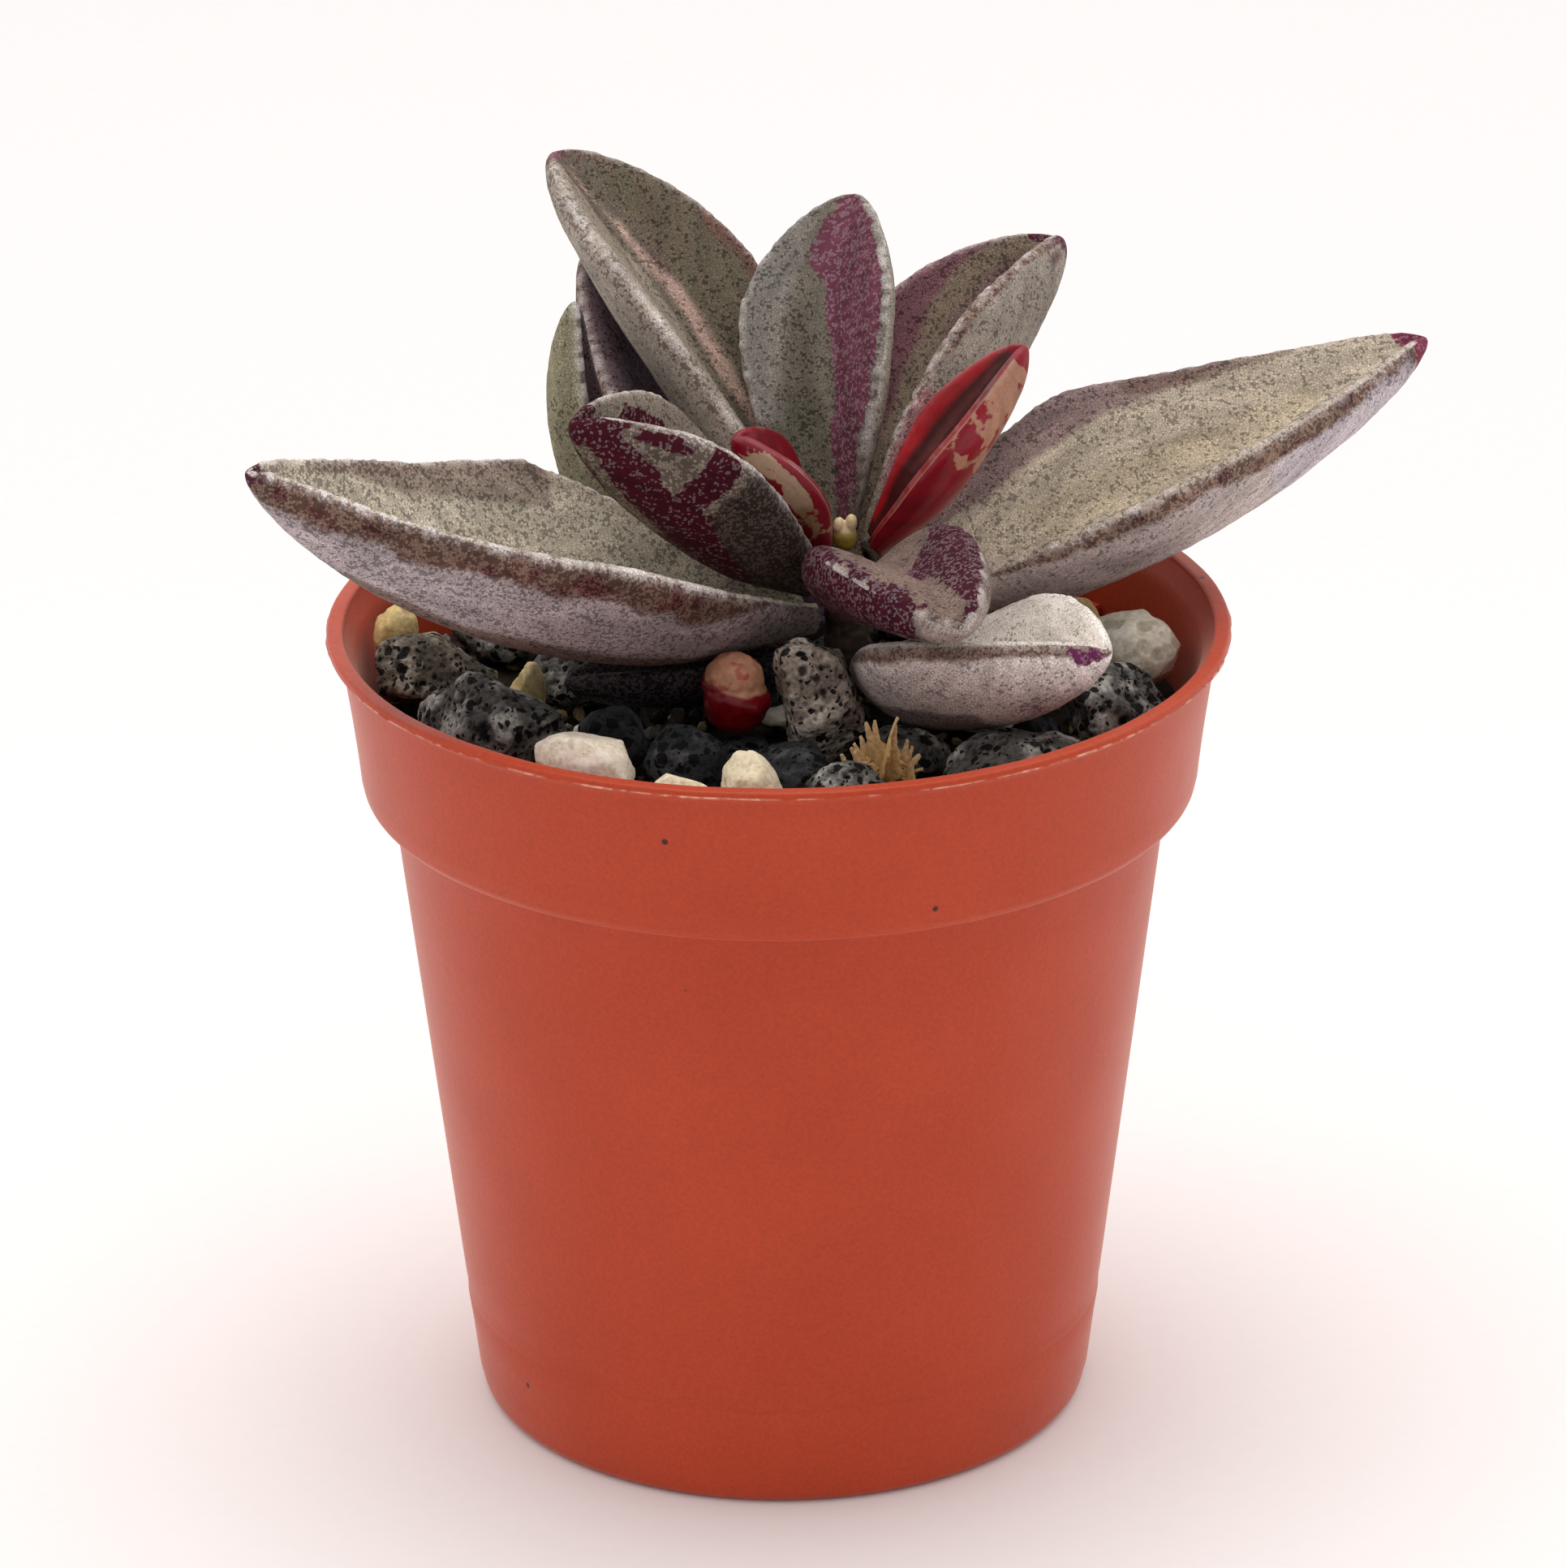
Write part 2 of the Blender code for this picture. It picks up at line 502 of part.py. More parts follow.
def stone_mesh(name, stone):
    """A broken stone: a ball cut back by flat faces, roughened and brought to size, mm."""
    kind = STONE_KINDS[stone["kind"]]
    draw = random.Random(stone["seed"])
    planes = []
    for _ in range(kind["cuts"]):
        facing = Vector([draw.gauss(0, 1) for _ in range(3)]).normalized()
        planes.append((facing, draw.uniform(0.62, 0.88)))
    bm = bmesh.new()
    bmesh.ops.create_icosphere(bm, subdivisions=stone.get("level", kind["level"]), radius=1)
    turn = Matrix.Rotation(math.radians(stone.get("lean", 0)), 3, "Y")
    turn = turn @ Matrix.Rotation(math.radians(stone["turn"]), 3, "Z")
    for vert in bm.verts:
        for facing, reach in planes:
            over = vert.co.dot(facing) - reach
            if over > 0:
                vert.co -= facing * over
        shift = Vector((stone["seed"], 0.5, 0.25))
        vert.co *= 1 + kind["rough"] * noise.noise(vert.co * 2.4 + shift)
    low = [min(v.co[i] for v in bm.verts) for i in range(3)]
    high = [max(v.co[i] for v in bm.verts) for i in range(3)]
    for vert in bm.verts:
        shares = [(vert.co[i] - low[i]) / (high[i] - low[i]) - 0.5 for i in range(3)]
        vert.co = turn @ Vector([shares[i] * stone["size"][i] for i in range(3)])
    reach = max(math.hypot(v.co.x, v.co.y) for v in bm.verts)
    shrink = min(1, stone.get("within", reach) / reach)
    for vert in bm.verts:
        vert.co.x = vert.co.x * shrink + stone["at"][0]
        vert.co.y = vert.co.y * shrink + stone["at"][1]
    drop = min(v.co.z - mix_height(v.co.x, v.co.y) for v in bm.verts)
    for vert in bm.verts:
        vert.co.z += GAP - drop
        vert.co *= MM
    mesh = bpy.data.meshes.new(name)
    bm.to_mesh(mesh)
    bm.free()
    return mesh


def lowest_over(x, y, radius, shapes):
    """Height of the lowest point of the given shapes above a round patch, mm."""
    near = shapes[np.hypot(shapes[:, 0] - x, shapes[:, 1] - y) < radius + LEAF_SPARE]
    return near[:, 2].min() if len(near) else POT_HEIGHT + 20


def fill_stones():
    """Stones laid where there is room, on a sunflower spiral, and kept under the leaves."""
    shapes = [leaf_points({**LEAF_DEFAULTS, **sizes}, np.linspace(0, 0.98, 24), LEAF_SIDES)
              for sizes in LEAVES.values()]
    shapes = np.concatenate([points.reshape(-1, 3) for points in shapes])
    taken = [(*stone["at"], max(stone["size"][:2]) * 0.45) for stone in STONES.values()]
    taken += [(STEM_X, STEM_Y, STEM_RADIUS + GAP), (*HUSK_MIDDLE, 1.9)]
    away = BAND_LOW_RADIUS - WALL_THICK - RIB_DEPTH / 2
    for turn in map(math.radians, rib_turns()):
        taken.append((away * math.cos(turn), away * math.sin(turn), RIB_DEPTH / 2 + GAP))
    laid = {}
    for wanted in FILL_SIZES:
        for i in range(FILL_TRIES):
            away = FILL_REACH * math.sqrt((i + 0.5) / FILL_TRIES)
            heading = math.radians(FILL_TURN) * i
            x, y = away * math.cos(heading), away * math.sin(heading)
            room = min(math.hypot(x - ox, y - oy) - other for ox, oy, other in taken) - FILL_SPARE
            if min(room, FILL_REACH - away) < wanted or len(laid) >= FILL_COUNT:
                continue
            head = lowest_over(x, y, wanted, shapes) - mix_height(x, y) - FILL_HEADROOM
            high = min(FILL_HEIGHT * (0.8 + 0.1 * (i % 4)) * min(1, wanted / 2.4), head)
            if high < FILL_LEAST:
                continue
            kind = FILL_KINDS[len(laid) % len(FILL_KINDS)]
            size = (2 * wanted, 2 * wanted * (0.82 + 0.04 * (i % 4)), high)
            laid[f"stone_{len(laid) + 1:02d}"] = dict(
                kind=kind, at=(x, y), size=size, within=wanted + FILL_SPARE / 2,
                turn=47 * i % 180, seed=40 + len(laid), level=2)
            taken.append((x, y, wanted))
    return laid


def make_stones(parts):
    for name, stone in {**STONES, **fill_stones()}.items():
        colour = STONE_KINDS[stone["kind"]]["colour"]
        finish = material("stone " + stone["kind"], colour, 0.9)
        add_object(name, stone_mesh(name, stone), parts, finish)


def make_bud(parts, cutters):
    """A small offset bud, a red lower leaf closed against a cream upper one."""
    x, y, z = BUD_MIDDLE
    long, deep, high = BUD_SIZE
    lower = blob_mesh("offset_bud", (x, y, z - high * 0.1), (long, deep, high * 0.8))
    bud = add_object("offset_bud", lower, parts, material("bud skin", (0.36, 0.05, 0.06), 0.4))
    upper = blob_mesh("bud_upper", (x - 0.1, y + 0.15, z + high * 0.16),
                      (long * 0.94, deep * 0.9, high * 0.68))
    cut(bud, add_cutter("bud_upper", upper, cutters), "UNION")


def make_husk(parts, cutters):
    """Dry flower scales, fanned out of one small foot."""
    x, y = HUSK_MIDDLE
    foot = mix_height(x, y) + GAP
    straw = material("dry husk", (0.48, 0.33, 0.16), 0.85)
    core = blob_mesh("dry_husk", (x, y, foot + HUSK_FOOT[2] / 2), HUSK_FOOT)
    husk = add_object("dry_husk", core, parts, straw)
    for i in range(HUSK_BLADES):
        share = i / (HUSK_BLADES - 1) - 0.5
        tall = HUSK_HEIGHT * (1 - 0.4 * abs(share)) * (0.84 + 0.08 * (5 * i % 3))
        blade = rod_mesh(f"scale_{i}", HUSK_BLADE, 0, tall, 6)
        top = max(v.co.z for v in blade.vertices)
        for vert in blade.vertices:
            if vert.co.z > top / 2:
                vert.co.x *= 0.4
            vert.co.y *= 0.55
        scale = add_cutter(f"scale_{i}", blade, cutters)
        lean = math.radians(HUSK_FAN * share)
        scale.location = Vector((x + 1.3 * share, y + 0.35 * (-1) ** i, foot + 0.6)) * MM
        scale.rotation_euler = (math.radians(9 * (-1) ** i), lean, math.radians(15 * share))
        cut(husk, scale, "UNION")


def make_collection(name):
    made = bpy.data.collections.new(name)
    bpy.context.scene.collection.children.link(made)
    return made


def main():
    for old in list(bpy.data.objects):
        bpy.data.objects.remove(old, do_unlink=True)
    parts = make_collection("potted_lenophyllum")
    cutters = make_collection("cutters")
    make_pot(parts, cutters)
    make_mix(parts, cutters)
    make_stem(parts)
    make_growing_tip(parts, cutters)
    for name, sizes in LEAVES.items():
        make_leaf(name, sizes, parts)
    make_stones(parts)
    make_bud(parts, cutters)
    make_husk(parts, cutters)


main()
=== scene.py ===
# Looks of a variegated lenophyllum in a small plastic nursery pot, topped with lava gravel.
# Lengths in the dictionaries are millimetres and angles are degrees, unless a note says otherwise.
import math
import random
from functools import partial

import bmesh
import bpy
import numpy as np
from mathutils import Matrix, Vector


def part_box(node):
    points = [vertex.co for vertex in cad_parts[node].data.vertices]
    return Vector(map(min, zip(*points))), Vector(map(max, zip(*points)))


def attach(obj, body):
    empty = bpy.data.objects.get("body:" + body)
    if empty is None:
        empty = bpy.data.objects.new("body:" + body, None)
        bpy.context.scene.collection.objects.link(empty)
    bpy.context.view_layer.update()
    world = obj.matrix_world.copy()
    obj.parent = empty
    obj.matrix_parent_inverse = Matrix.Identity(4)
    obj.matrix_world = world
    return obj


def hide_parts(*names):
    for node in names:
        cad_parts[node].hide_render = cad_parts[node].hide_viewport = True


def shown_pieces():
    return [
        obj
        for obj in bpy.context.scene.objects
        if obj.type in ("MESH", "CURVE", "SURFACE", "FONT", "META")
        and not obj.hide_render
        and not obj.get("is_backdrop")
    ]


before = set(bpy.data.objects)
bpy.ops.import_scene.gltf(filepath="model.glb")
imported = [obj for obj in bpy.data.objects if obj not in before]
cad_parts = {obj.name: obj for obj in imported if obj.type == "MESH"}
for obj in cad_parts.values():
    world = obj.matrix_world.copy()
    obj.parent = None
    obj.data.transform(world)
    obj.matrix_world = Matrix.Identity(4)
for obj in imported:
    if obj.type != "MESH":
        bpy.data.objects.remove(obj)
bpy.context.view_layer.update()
mm = 0.001
print("frame loaded:", len(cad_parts), "nodes")


def linear(hexColour):  # sRGB hex to the linear colour a shader works with
    parts = [int(hexColour[i:i + 2], 16) / 255 for i in (1, 3, 5)]
    return np.array([p / 12.92 if p <= 0.04045 else ((p + 0.055) / 1.055) ** 2.4
                     for p in parts] + [1.0])


def setInputs(tree, target, values):  # a socket is linked, any other value is set
    for name, value in values.items():
        if isinstance(value, bpy.types.NodeSocket):
            tree.links.new(value, target.inputs[name])
        else:
            target.inputs[name].default_value = value


# One node with its links and settings. In MapRange input 0 is the value, 1 and 2 are the range it
# comes from and 3 and 4 the range it goes to; in Mix 6 and 7 are the two colours.
def addNode(tree, kind, values={}, output=0, **settings):
    made = tree.nodes.new("ShaderNode" + kind)
    for name, value in settings.items():
        setattr(made, name, value)
    setInputs(tree, made, values)
    return [made.outputs[o] for o in output] if isinstance(output, tuple) else made.outputs[output]


def newMaterial(name, constants):  # the material, a way to fill its shader and a way to add nodes
    made = bpy.data.materials.new(name)
    made.use_nodes = True
    tree = made.node_tree
    fill = partial(setInputs, tree, tree.nodes["Principled BSDF"])
    fill(constants)
    return made, fill, partial(addNode, tree)


# A skin coloured per point, with one fine pattern in its tone and relief, scale lumps to the metre.
def plainSkin(name, rough, low, high, scale, bumpStrength, extra={}, bumpDeep=0.0001):
    material, fill, node = newMaterial(name, {"Roughness": rough, "IOR": 1.42, **extra})
    place = node("TexCoord", output="Object")
    tint = node("Attribute", output="Color", attribute_name="tint")
    pattern = node("TexNoise", {"Vector": place, "Scale": scale, "Detail": 4})
    tone = node("MapRange", {0: pattern, 1: 0.3, 2: 0.7, 3: low, 4: high})
    fill({"Base Color": node("VectorMath", {0: tint, "Scale": tone}, operation="SCALE"),
          "Normal": node("Bump", {"Strength": bumpStrength, "Distance": bumpDeep, "Height": pattern})})
    return material


def hashCorner(i, j, k, seed):  # a fixed draw from 0 to 1 for each corner of a lattice
    mixed = (i * 374761393 + j * 668265263 + k * 1274126177 + seed * 974634777) & 0xFFFFFFFF
    mixed = ((mixed ^ (mixed >> 13)) * 1103515245) & 0xFFFFFFFF
    mixed = ((mixed ^ (mixed >> 15)) * 668265263) & 0xFFFFFFFF
    return ((mixed ^ (mixed >> 16)) & 0xFFFF) / 65535


def softNoise(points, size, seed):  # smooth noise from -1 to 1, with lumps about size across
    place = points / size
    low = np.floor(place).astype(np.int64)
    part = place - low
    part = part * part * (3 - 2 * part)
    total = 0
    for corner in range(8):
        step = np.array([corner & 1, corner >> 1 & 1, corner >> 2])
        weight = np.prod(np.where(step, part, 1 - part), axis=-1)
        total = total + weight * hashCorner(*np.moveaxis(low + step, -1, 0), seed)
    return total * 2 - 1


def roughNoise(points, size, seed, layers=3):  # softNoise with finer layers on top
    return sum(softNoise(points, size / 2 ** i, seed + i) / 2 ** i for i in range(layers)) / 1.6


def cellNoise(points, size, seed):  # distance to the nearest scattered point, and that point's draw
    place = points / size
    low = np.floor(place).astype(np.int64)
    nearest = np.full(len(points), 9.0)
    draw = np.zeros(len(points))
    for corner in range(27):
        cell = low + np.array([corner % 3 - 1, corner // 3 % 3 - 1, corner // 9 - 1])
        parts = np.moveaxis(cell, -1, 0)
        seedPoint = cell + np.stack([hashCorner(*parts, seed + n) for n in range(3)], -1)
        distance = np.linalg.norm(place - seedPoint, axis=-1)
        closer = distance < nearest
        nearest = np.where(closer, distance, nearest)
        draw = np.where(closer, hashCorner(*parts, seed + 3), draw)
    return nearest * size, draw


def smoothStep(value, low, high):
    share = np.clip((value - low) / (high - low), 0, 1)
    return share * share * (3 - 2 * share)


def blendColours(first, second, share):
    return first + (second - first) * share[..., None]


def camelName(name):
    first, *rest = name.split("_")
    return first + "".join(word.title() for word in rest)


def addObject(name, data):
    made = bpy.data.objects.new(name, data)
    bpy.context.scene.collection.objects.link(made)
    return made


def finishPiece(name, mesh, material, nodes):  # a mesh becomes a piece that stands for its nodes
    mesh.materials.clear()
    mesh.materials.append(material)
    mesh.shade_smooth()
    piece = addObject(name, mesh)
    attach(piece, "root")
    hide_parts(*nodes)
    return piece


def addValues(mesh, name, values):  # a number, place or colour per point, which the material reads
    values = np.ascontiguousarray(values, np.float32)
    kind, key = {1: ("FLOAT", "value"), 3: ("FLOAT_VECTOR", "vector"),
                 4: ("FLOAT_COLOR", "color")}[values[0].size]
    mesh.attributes.new(name, kind, "POINT").data.foreach_set(key, values.ravel())


def ringFaces(index):  # quads between neighbouring rings of point numbers
    turned = np.roll(index, -1, axis=1)
    return np.stack([index[:-1], turned[:-1], turned[1:], index[1:]], -1).reshape(-1, 4).tolist()


def gridMesh(name, rings, startPoint, endPoint):  # closed skin through rings of points, in mm
    count, sides = rings.shape[:2]
    points = np.concatenate([rings.reshape(-1, 3), [startPoint, endPoint]]) * mm
    index = np.arange(count * sides).reshape(count, sides)
    first = [(count * sides, b, a) for a, b in zip(index[0], np.roll(index[0], -1))]
    last = [(count * sides + 1, a, b) for a, b in zip(index[-1], np.roll(index[-1], -1))]
    mesh = bpy.data.meshes.new(name)
    mesh.from_pydata(points.tolist(), [], ringFaces(index) + first + last)
    outward = bmesh.new()
    outward.from_mesh(mesh)
    bmesh.ops.recalc_face_normals(outward, faces=outward.faces)
    outward.to_mesh(mesh)
    outward.free()
    return mesh


def modifiedMesh(draft):  # a new mesh with the draft's modifiers applied
    return bpy.data.meshes.new_from_object(draft.evaluated_get(bpy.context.evaluated_depsgraph_get()))


def fineCopy(node, grain, smoothing=2):  # a node's form in even faces, with its points and directions
    draft = addObject("draft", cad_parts[node].data.copy())
    draft.modifiers.new("weld", "WELD").merge_threshold = 0.00001
    remesh = draft.modifiers.new("remesh", "REMESH")
    remesh.mode = "VOXEL"
    remesh.voxel_size = grain * mm
    draft.modifiers.new("relax", "SMOOTH").iterations = smoothing
    mesh = modifiedMesh(draft)
    bpy.data.objects.remove(draft)
    points, outward = [np.zeros(len(mesh.vertices) * 3, np.float32) for _ in range(2)]
    mesh.vertices.foreach_get("co", points)
    mesh.vertices.foreach_get("normal", outward)
    return mesh, points.reshape(-1, 3).astype(float) / mm, outward.reshape(-1, 3).astype(float)


def finishFine(name, fine, shift, tint, material, node):  # shift pushes each point out, in mm
    mesh, points, outward = fine
    moved = (points + outward * shift[:, None]) * mm
    mesh.vertices.foreach_set("co", moved.astype(np.float32).ravel())
    mesh.update()
    addValues(mesh, "tint", tint)
    finishPiece(name, mesh, material, [node])


# Camera, floor and light.
# A phone held half a metre away, a little above the rim, with the picture's middle near the pot's rim.
cameraLook = dict(distance=500, height=22.72, lens=186.3, sensor=36, aimX=0.2, aimZ=39.97, tilt=-0.4)


def makeCamera():
    look = cameraLook
    height = math.radians(look["height"])
    back = Vector((0, -math.cos(height), math.sin(height)))
    right = Vector((1, 0, 0))
    up = back.cross(right)
    turn = Matrix.Rotation(math.radians(look["tilt"]), 3, back)
    right, up = turn @ right, turn @ up
    data = bpy.data.cameras.new("phone camera")
    data.lens = look["lens"]
    data.sensor_width = look["sensor"]
    data.clip_start = 0.01
    camera = addObject("phone camera", data)
    place = (Vector((look["aimX"], 0, look["aimZ"])) + back * look["distance"]) * mm
    camera.matrix_world = Matrix.Translation(place) @ Matrix((right, up, back)).transposed().to_4x4()
    bpy.context.scene.camera = camera


# A white card in a light tent: brightest behind and overhead, dimmer on the camera's side, so the
# shadow is soft, close and the same on both sides. Its lengths are metres.
studioLook = dict(nearCard="#FAF8F7", farCard="#EFEDED", near=-0.02, far=0.16, half=3, grain=0.015,
                  tent="#FFFDFC", front=0.47, back=1.0, zenith=0.33, dimTo=-0.9, fullFrom=0.7,
                  lamp="#FFFBF7", lampLight=0.9, lampSize=0.45, lampPlace=(0, 0.05, 0.6),
                  lampAim=(0, 0, 0.05))


def makeStudio():
    look = studioLook
    scene = bpy.context.scene
    scene.world = bpy.data.worlds.new("light tent")
    scene.world.use_nodes = True
    tree = scene.world.node_tree
    node = partial(addNode, tree)
    direction = node("TexCoord", output="Generated")
    depth, height = node("SeparateXYZ", {0: direction}, ("Y", "Z"))
    sides = node("MapRange", {0: depth, 1: look["dimTo"], 2: look["fullFrom"], 3: look["front"],
                              4: look["back"]}, interpolation_type="SMOOTHSTEP")
    above = node("MapRange", {0: height, 4: look["zenith"]})
    glow = node("Math", {0: sides, 1: above}, operation="ADD")
    setInputs(tree, tree.nodes["Background"], {"Strength": glow, "Color": linear(look["tent"])})

    lamp = bpy.data.lights.new("overhead softbox", "AREA")
    lamp.shape = "DISK"
    lamp.size = look["lampSize"]
    lamp.energy = look["lampLight"]
    lamp.color = linear(look["lamp"])[:3]
    light = addObject("overhead softbox", lamp)
    light.location = look["lampPlace"]
    aim = Vector(look["lampAim"]) - Vector(look["lampPlace"])
    light.rotation_euler = aim.to_track_quat("-Z", "Y").to_euler()

    material, fill, node = newMaterial("matt white card", {"Roughness": 0.9, "IOR": 1.45,
                                                           "Specular IOR Level": 0.2})
    place = node("TexCoord", output="Object")
    away = node("SeparateXYZ", {0: place}, "Y")
    fall = node("MapRange", {0: away, 1: look["near"], 2: look["far"]}, interpolation_type="SMOOTHSTEP")
    # paper grain, 1 mm
    grain = node("TexNoise", {"Vector": place, "Scale": 900, "Detail": 3})
    fine = node("MapRange", {0: grain, 3: 1 - look["grain"], 4: 1 + look["grain"]})
    tint = node("Mix", {0: fall, 6: linear(look["nearCard"]), 7: linear(look["farCard"])}, 2,
                data_type="RGBA")
    fill({"Base Color": node("VectorMath", {0: tint, "Scale": fine}, operation="SCALE")})
    half = look["half"]
    card = bpy.data.meshes.new("floor")
    card.from_pydata([(-half, -half, 0), (half, -half, 0), (half, half, 0), (-half, half, 0)], [],
                     [(0, 1, 2, 3)])
    card.materials.append(material)
    floor = addObject("floor", card)
    floor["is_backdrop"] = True
    scene.view_settings.view_transform = "Standard"
    scene.view_settings.look = "None"


makeCamera()
makeStudio()
print("camera and studio ready")


# Pot: thin polypropylene, injection moulded, with a satin skin.
# The eye sees an even brick orange, a broad soft shine that turns pale at the sides, a ragged
# pale flash line round the lip and a few specks of dust.
# pale is the colour of the painted highlight on the lip's flash line
potLook = dict(colour="#BF4422", deep="#AF3B1C", pale="#DDA18C", speck="#4A1D14", rough=0.42,
               steps=288, height=50.9, rim=27.6, lipHigh=0.6, lipWide=1.0, lipRound=0.2,
               bandTop=26.9, bandLow=25.65, stepZ=40.4, wallTop=23.9, wallLow=19.1, corner=0.95,
               floor=1.2, wall=0.85, swell=1.3, stepRound=0.92, flash=0.13, scoreZ=6.7,
               ribTurns=(38, 128, 218, 308), ribWide=1.3, ribDeep=1.6, ribLow=41.6, ribHigh=45.7,
               drains=(45, 135, 225, 315), drainSpread=10.5, drainRadius=2.4, drainTall=6,
               flashDown=0.36, flashTall=0.055)


def potMaterial():
    look = potLook
    material, fill, node = newMaterial("terracotta polypropylene, injection moulded", {
        "Roughness": look["rough"], "IOR": 1.49, "Specular IOR Level": 0.28, "Sheen Weight": 0.34,
        "Sheen Tint": linear("#FFDCD0"), "Sheen Roughness": 0.3})
    place = node("TexCoord", output="Object")
    # slow drift of the pigment, about 9 mm across
    drift = node("TexNoise", {"Vector": place, "Scale": 110, "Detail": 3})
    colour = node("Mix", {0: drift, 6: linear(look["colour"]), 7: linear(look["deep"])}, 2,
                  data_type="RGBA")
    # fine mottle of the moulded skin, 0.25 mm
    mottle = node("TexNoise", {"Vector": place, "Scale": 4000, "Detail": 2})
    light = node("MapRange", {0: mottle, 1: 0.3, 2: 0.7, 3: 0.9, 4: 1.08})
    colour = node("VectorMath", {0: colour, "Scale": light}, operation="SCALE")
    # painted highlight: the lip's ragged flash line, beyond the rim's own radius, is painted paler where it
    # catches the light
    flat = node("VectorMath", {0: place, 1: (1, 1, 0)}, operation="MULTIPLY")
    radius = node("VectorMath", {0: flat}, "Value", operation="LENGTH")
    atEdge = node("MapRange", {0: radius, 1: look["rim"] * mm, 2: (look["rim"] + 0.08) * mm},
                  interpolation_type="SMOOTHSTEP")
    ragged = node("TexNoise", {"Vector": place, "Scale": 1300, "Detail": 4})
    flashGlint = node("MapRange", {0: ragged, 1: 0.42, 2: 0.6})
    pale = node("Math", {0: atEdge, 1: flashGlint}, operation="MULTIPLY")
    colour = node("Mix", {0: pale, 6: colour, 7: linear(look["pale"])}, 2, data_type="RGBA")
    # dust specks 0.2 mm across, on about a quarter of the points scattered 5 mm apart
    near, draw = node("TexVoronoi", {"Vector": place, "Scale": 190}, ("Distance", "Color"))
    near = node("MapRange", {0: near, 1: 0.045, 2: 0.03})
    draw = node("SeparateColor", {0: draw})
    few = node("Math", {0: draw, 1: 0.72}, operation="GREATER_THAN")
    dust = node("Math", {0: near, 1: few}, operation="MULTIPLY")
    colour = node("Mix", {0: dust, 6: colour, 7: linear(look["speck"])}, 2, data_type="RGBA")
    # orange peel of the mould, 0.5 mm
    peel = node("TexNoise", {"Vector": place, "Scale": 1900, "Detail": 3})
    fill({"Base Color": colour,
          "Roughness": node("MapRange", {0: drift, 3: look["rough"] - 0.05, 4: look["rough"] + 0.1}),
          "Normal": node("Bump", {"Strength": 0.12, "Distance": 0.0001, "Height": peel})})
    return material


def bandRadius(z):
    share = (z - potLook["stepZ"]) / (potLook["height"] - potLook["lipHigh"] - potLook["stepZ"])
    return potLook["bandLow"] + (potLook["bandTop"] - potLook["bandLow"]) * share ** potLook["swell"]


def wallRadius(z):
    return potLook["wallLow"] + (potLook["wallTop"] - potLook["wallLow"]) * z / potLook["stepZ"]


def roundCorner(middle, height, reach, start, end, count):
    turns = [math.radians(turn) for turn in np.linspace(start, end, count)]
    return [(middle + reach * math.cos(t), height + reach * math.sin(t)) for t in turns]


def potProfile():  # (radius, height) from the middle of the floor, up the inside and down outside
    look = potLook
    rim, wall, top, bandLow = [look[key] for key in ("rim", "wall", "height", "bandLow")]
    stepZ, stepRound, lipRound, corner = [look[key] for key in
                                          ("stepZ", "stepRound", "lipRound", "corner")]
    # floor, rounded corner, wall, the step from within and the band
    inside = [(r, look["floor"]) for r in np.linspace(2, look["wallLow"] - wall - 0.9, 7)]
    inside += [(wallRadius(2.0) - wall - 0.35, 1.35), (wallRadius(2.3) - wall, 2.3)]
    inside += [(wallRadius(z) - wall, z) for z in np.linspace(4, stepZ - 0.3, 9)]
    inside += [(bandLow - wall - 1.0, stepZ + 0.35), (bandLow - wall - 0.25, stepZ + 0.8)]
    inside += [(bandRadius(z) - wall, z) for z in np.linspace(41.8, 49.6, 9)]
    # two small round corners, then close points for the flash line
    lip = [(rim - look["lipWide"], top - 0.45)]
    lip += roundCorner(rim - look["lipWide"] + lipRound, top - lipRound, lipRound, 180, 90, 6)
    lip += roundCorner(rim - lipRound, top - lipRound, lipRound, 90, 0, 6)
    lip += [(rim, top - z) for z in (0.26, 0.3, 0.34, 0.38, 0.43, 0.48)]
    lip += [(rim - 0.12, top - 0.56), (look["bandTop"] + 0.3, top - 0.62)]
    # band, round step, wall, scored line, foot and underside
    outside = [(bandRadius(50.15) + 0.04, 50.15)]
    outside += [(bandRadius(z), z) for z in np.linspace(49.8, 41.6, 14)]
    outside += roundCorner(bandLow - stepRound, stepZ + stepRound, stepRound, 0, -82, 9)
    outside += [(look["wallTop"] + 0.18, stepZ - 0.02), (look["wallTop"] + 0.05, stepZ - 0.16)]
    outside += [(wallRadius(z), z) for z in np.linspace(39.7, 8, 16)]
    outside += [(wallRadius(look["scoreZ"]) + step, look["scoreZ"] + rise)
                for rise, step in ((0.35, 0.0), (0.15, 0.02), (0.05, -0.04), (-0.1, -0.05), (-0.4, 0))]
    outside += [(wallRadius(z), z) for z in (4.4, 2.6, 1.6)]
    outside += roundCorner(look["wallLow"] - corner, corner, corner, 0, -90, 8)
    outside += [(r, 0) for r in (16, 12, 7, 2)]
    return inside + lip + outside


def cutterObject(name, shape):  # a bmesh becomes an object that the pot is joined to or cut with
    mesh = bpy.data.meshes.new(name)
    shape.to_mesh(mesh)
    shape.free()
    return addObject(name, mesh)


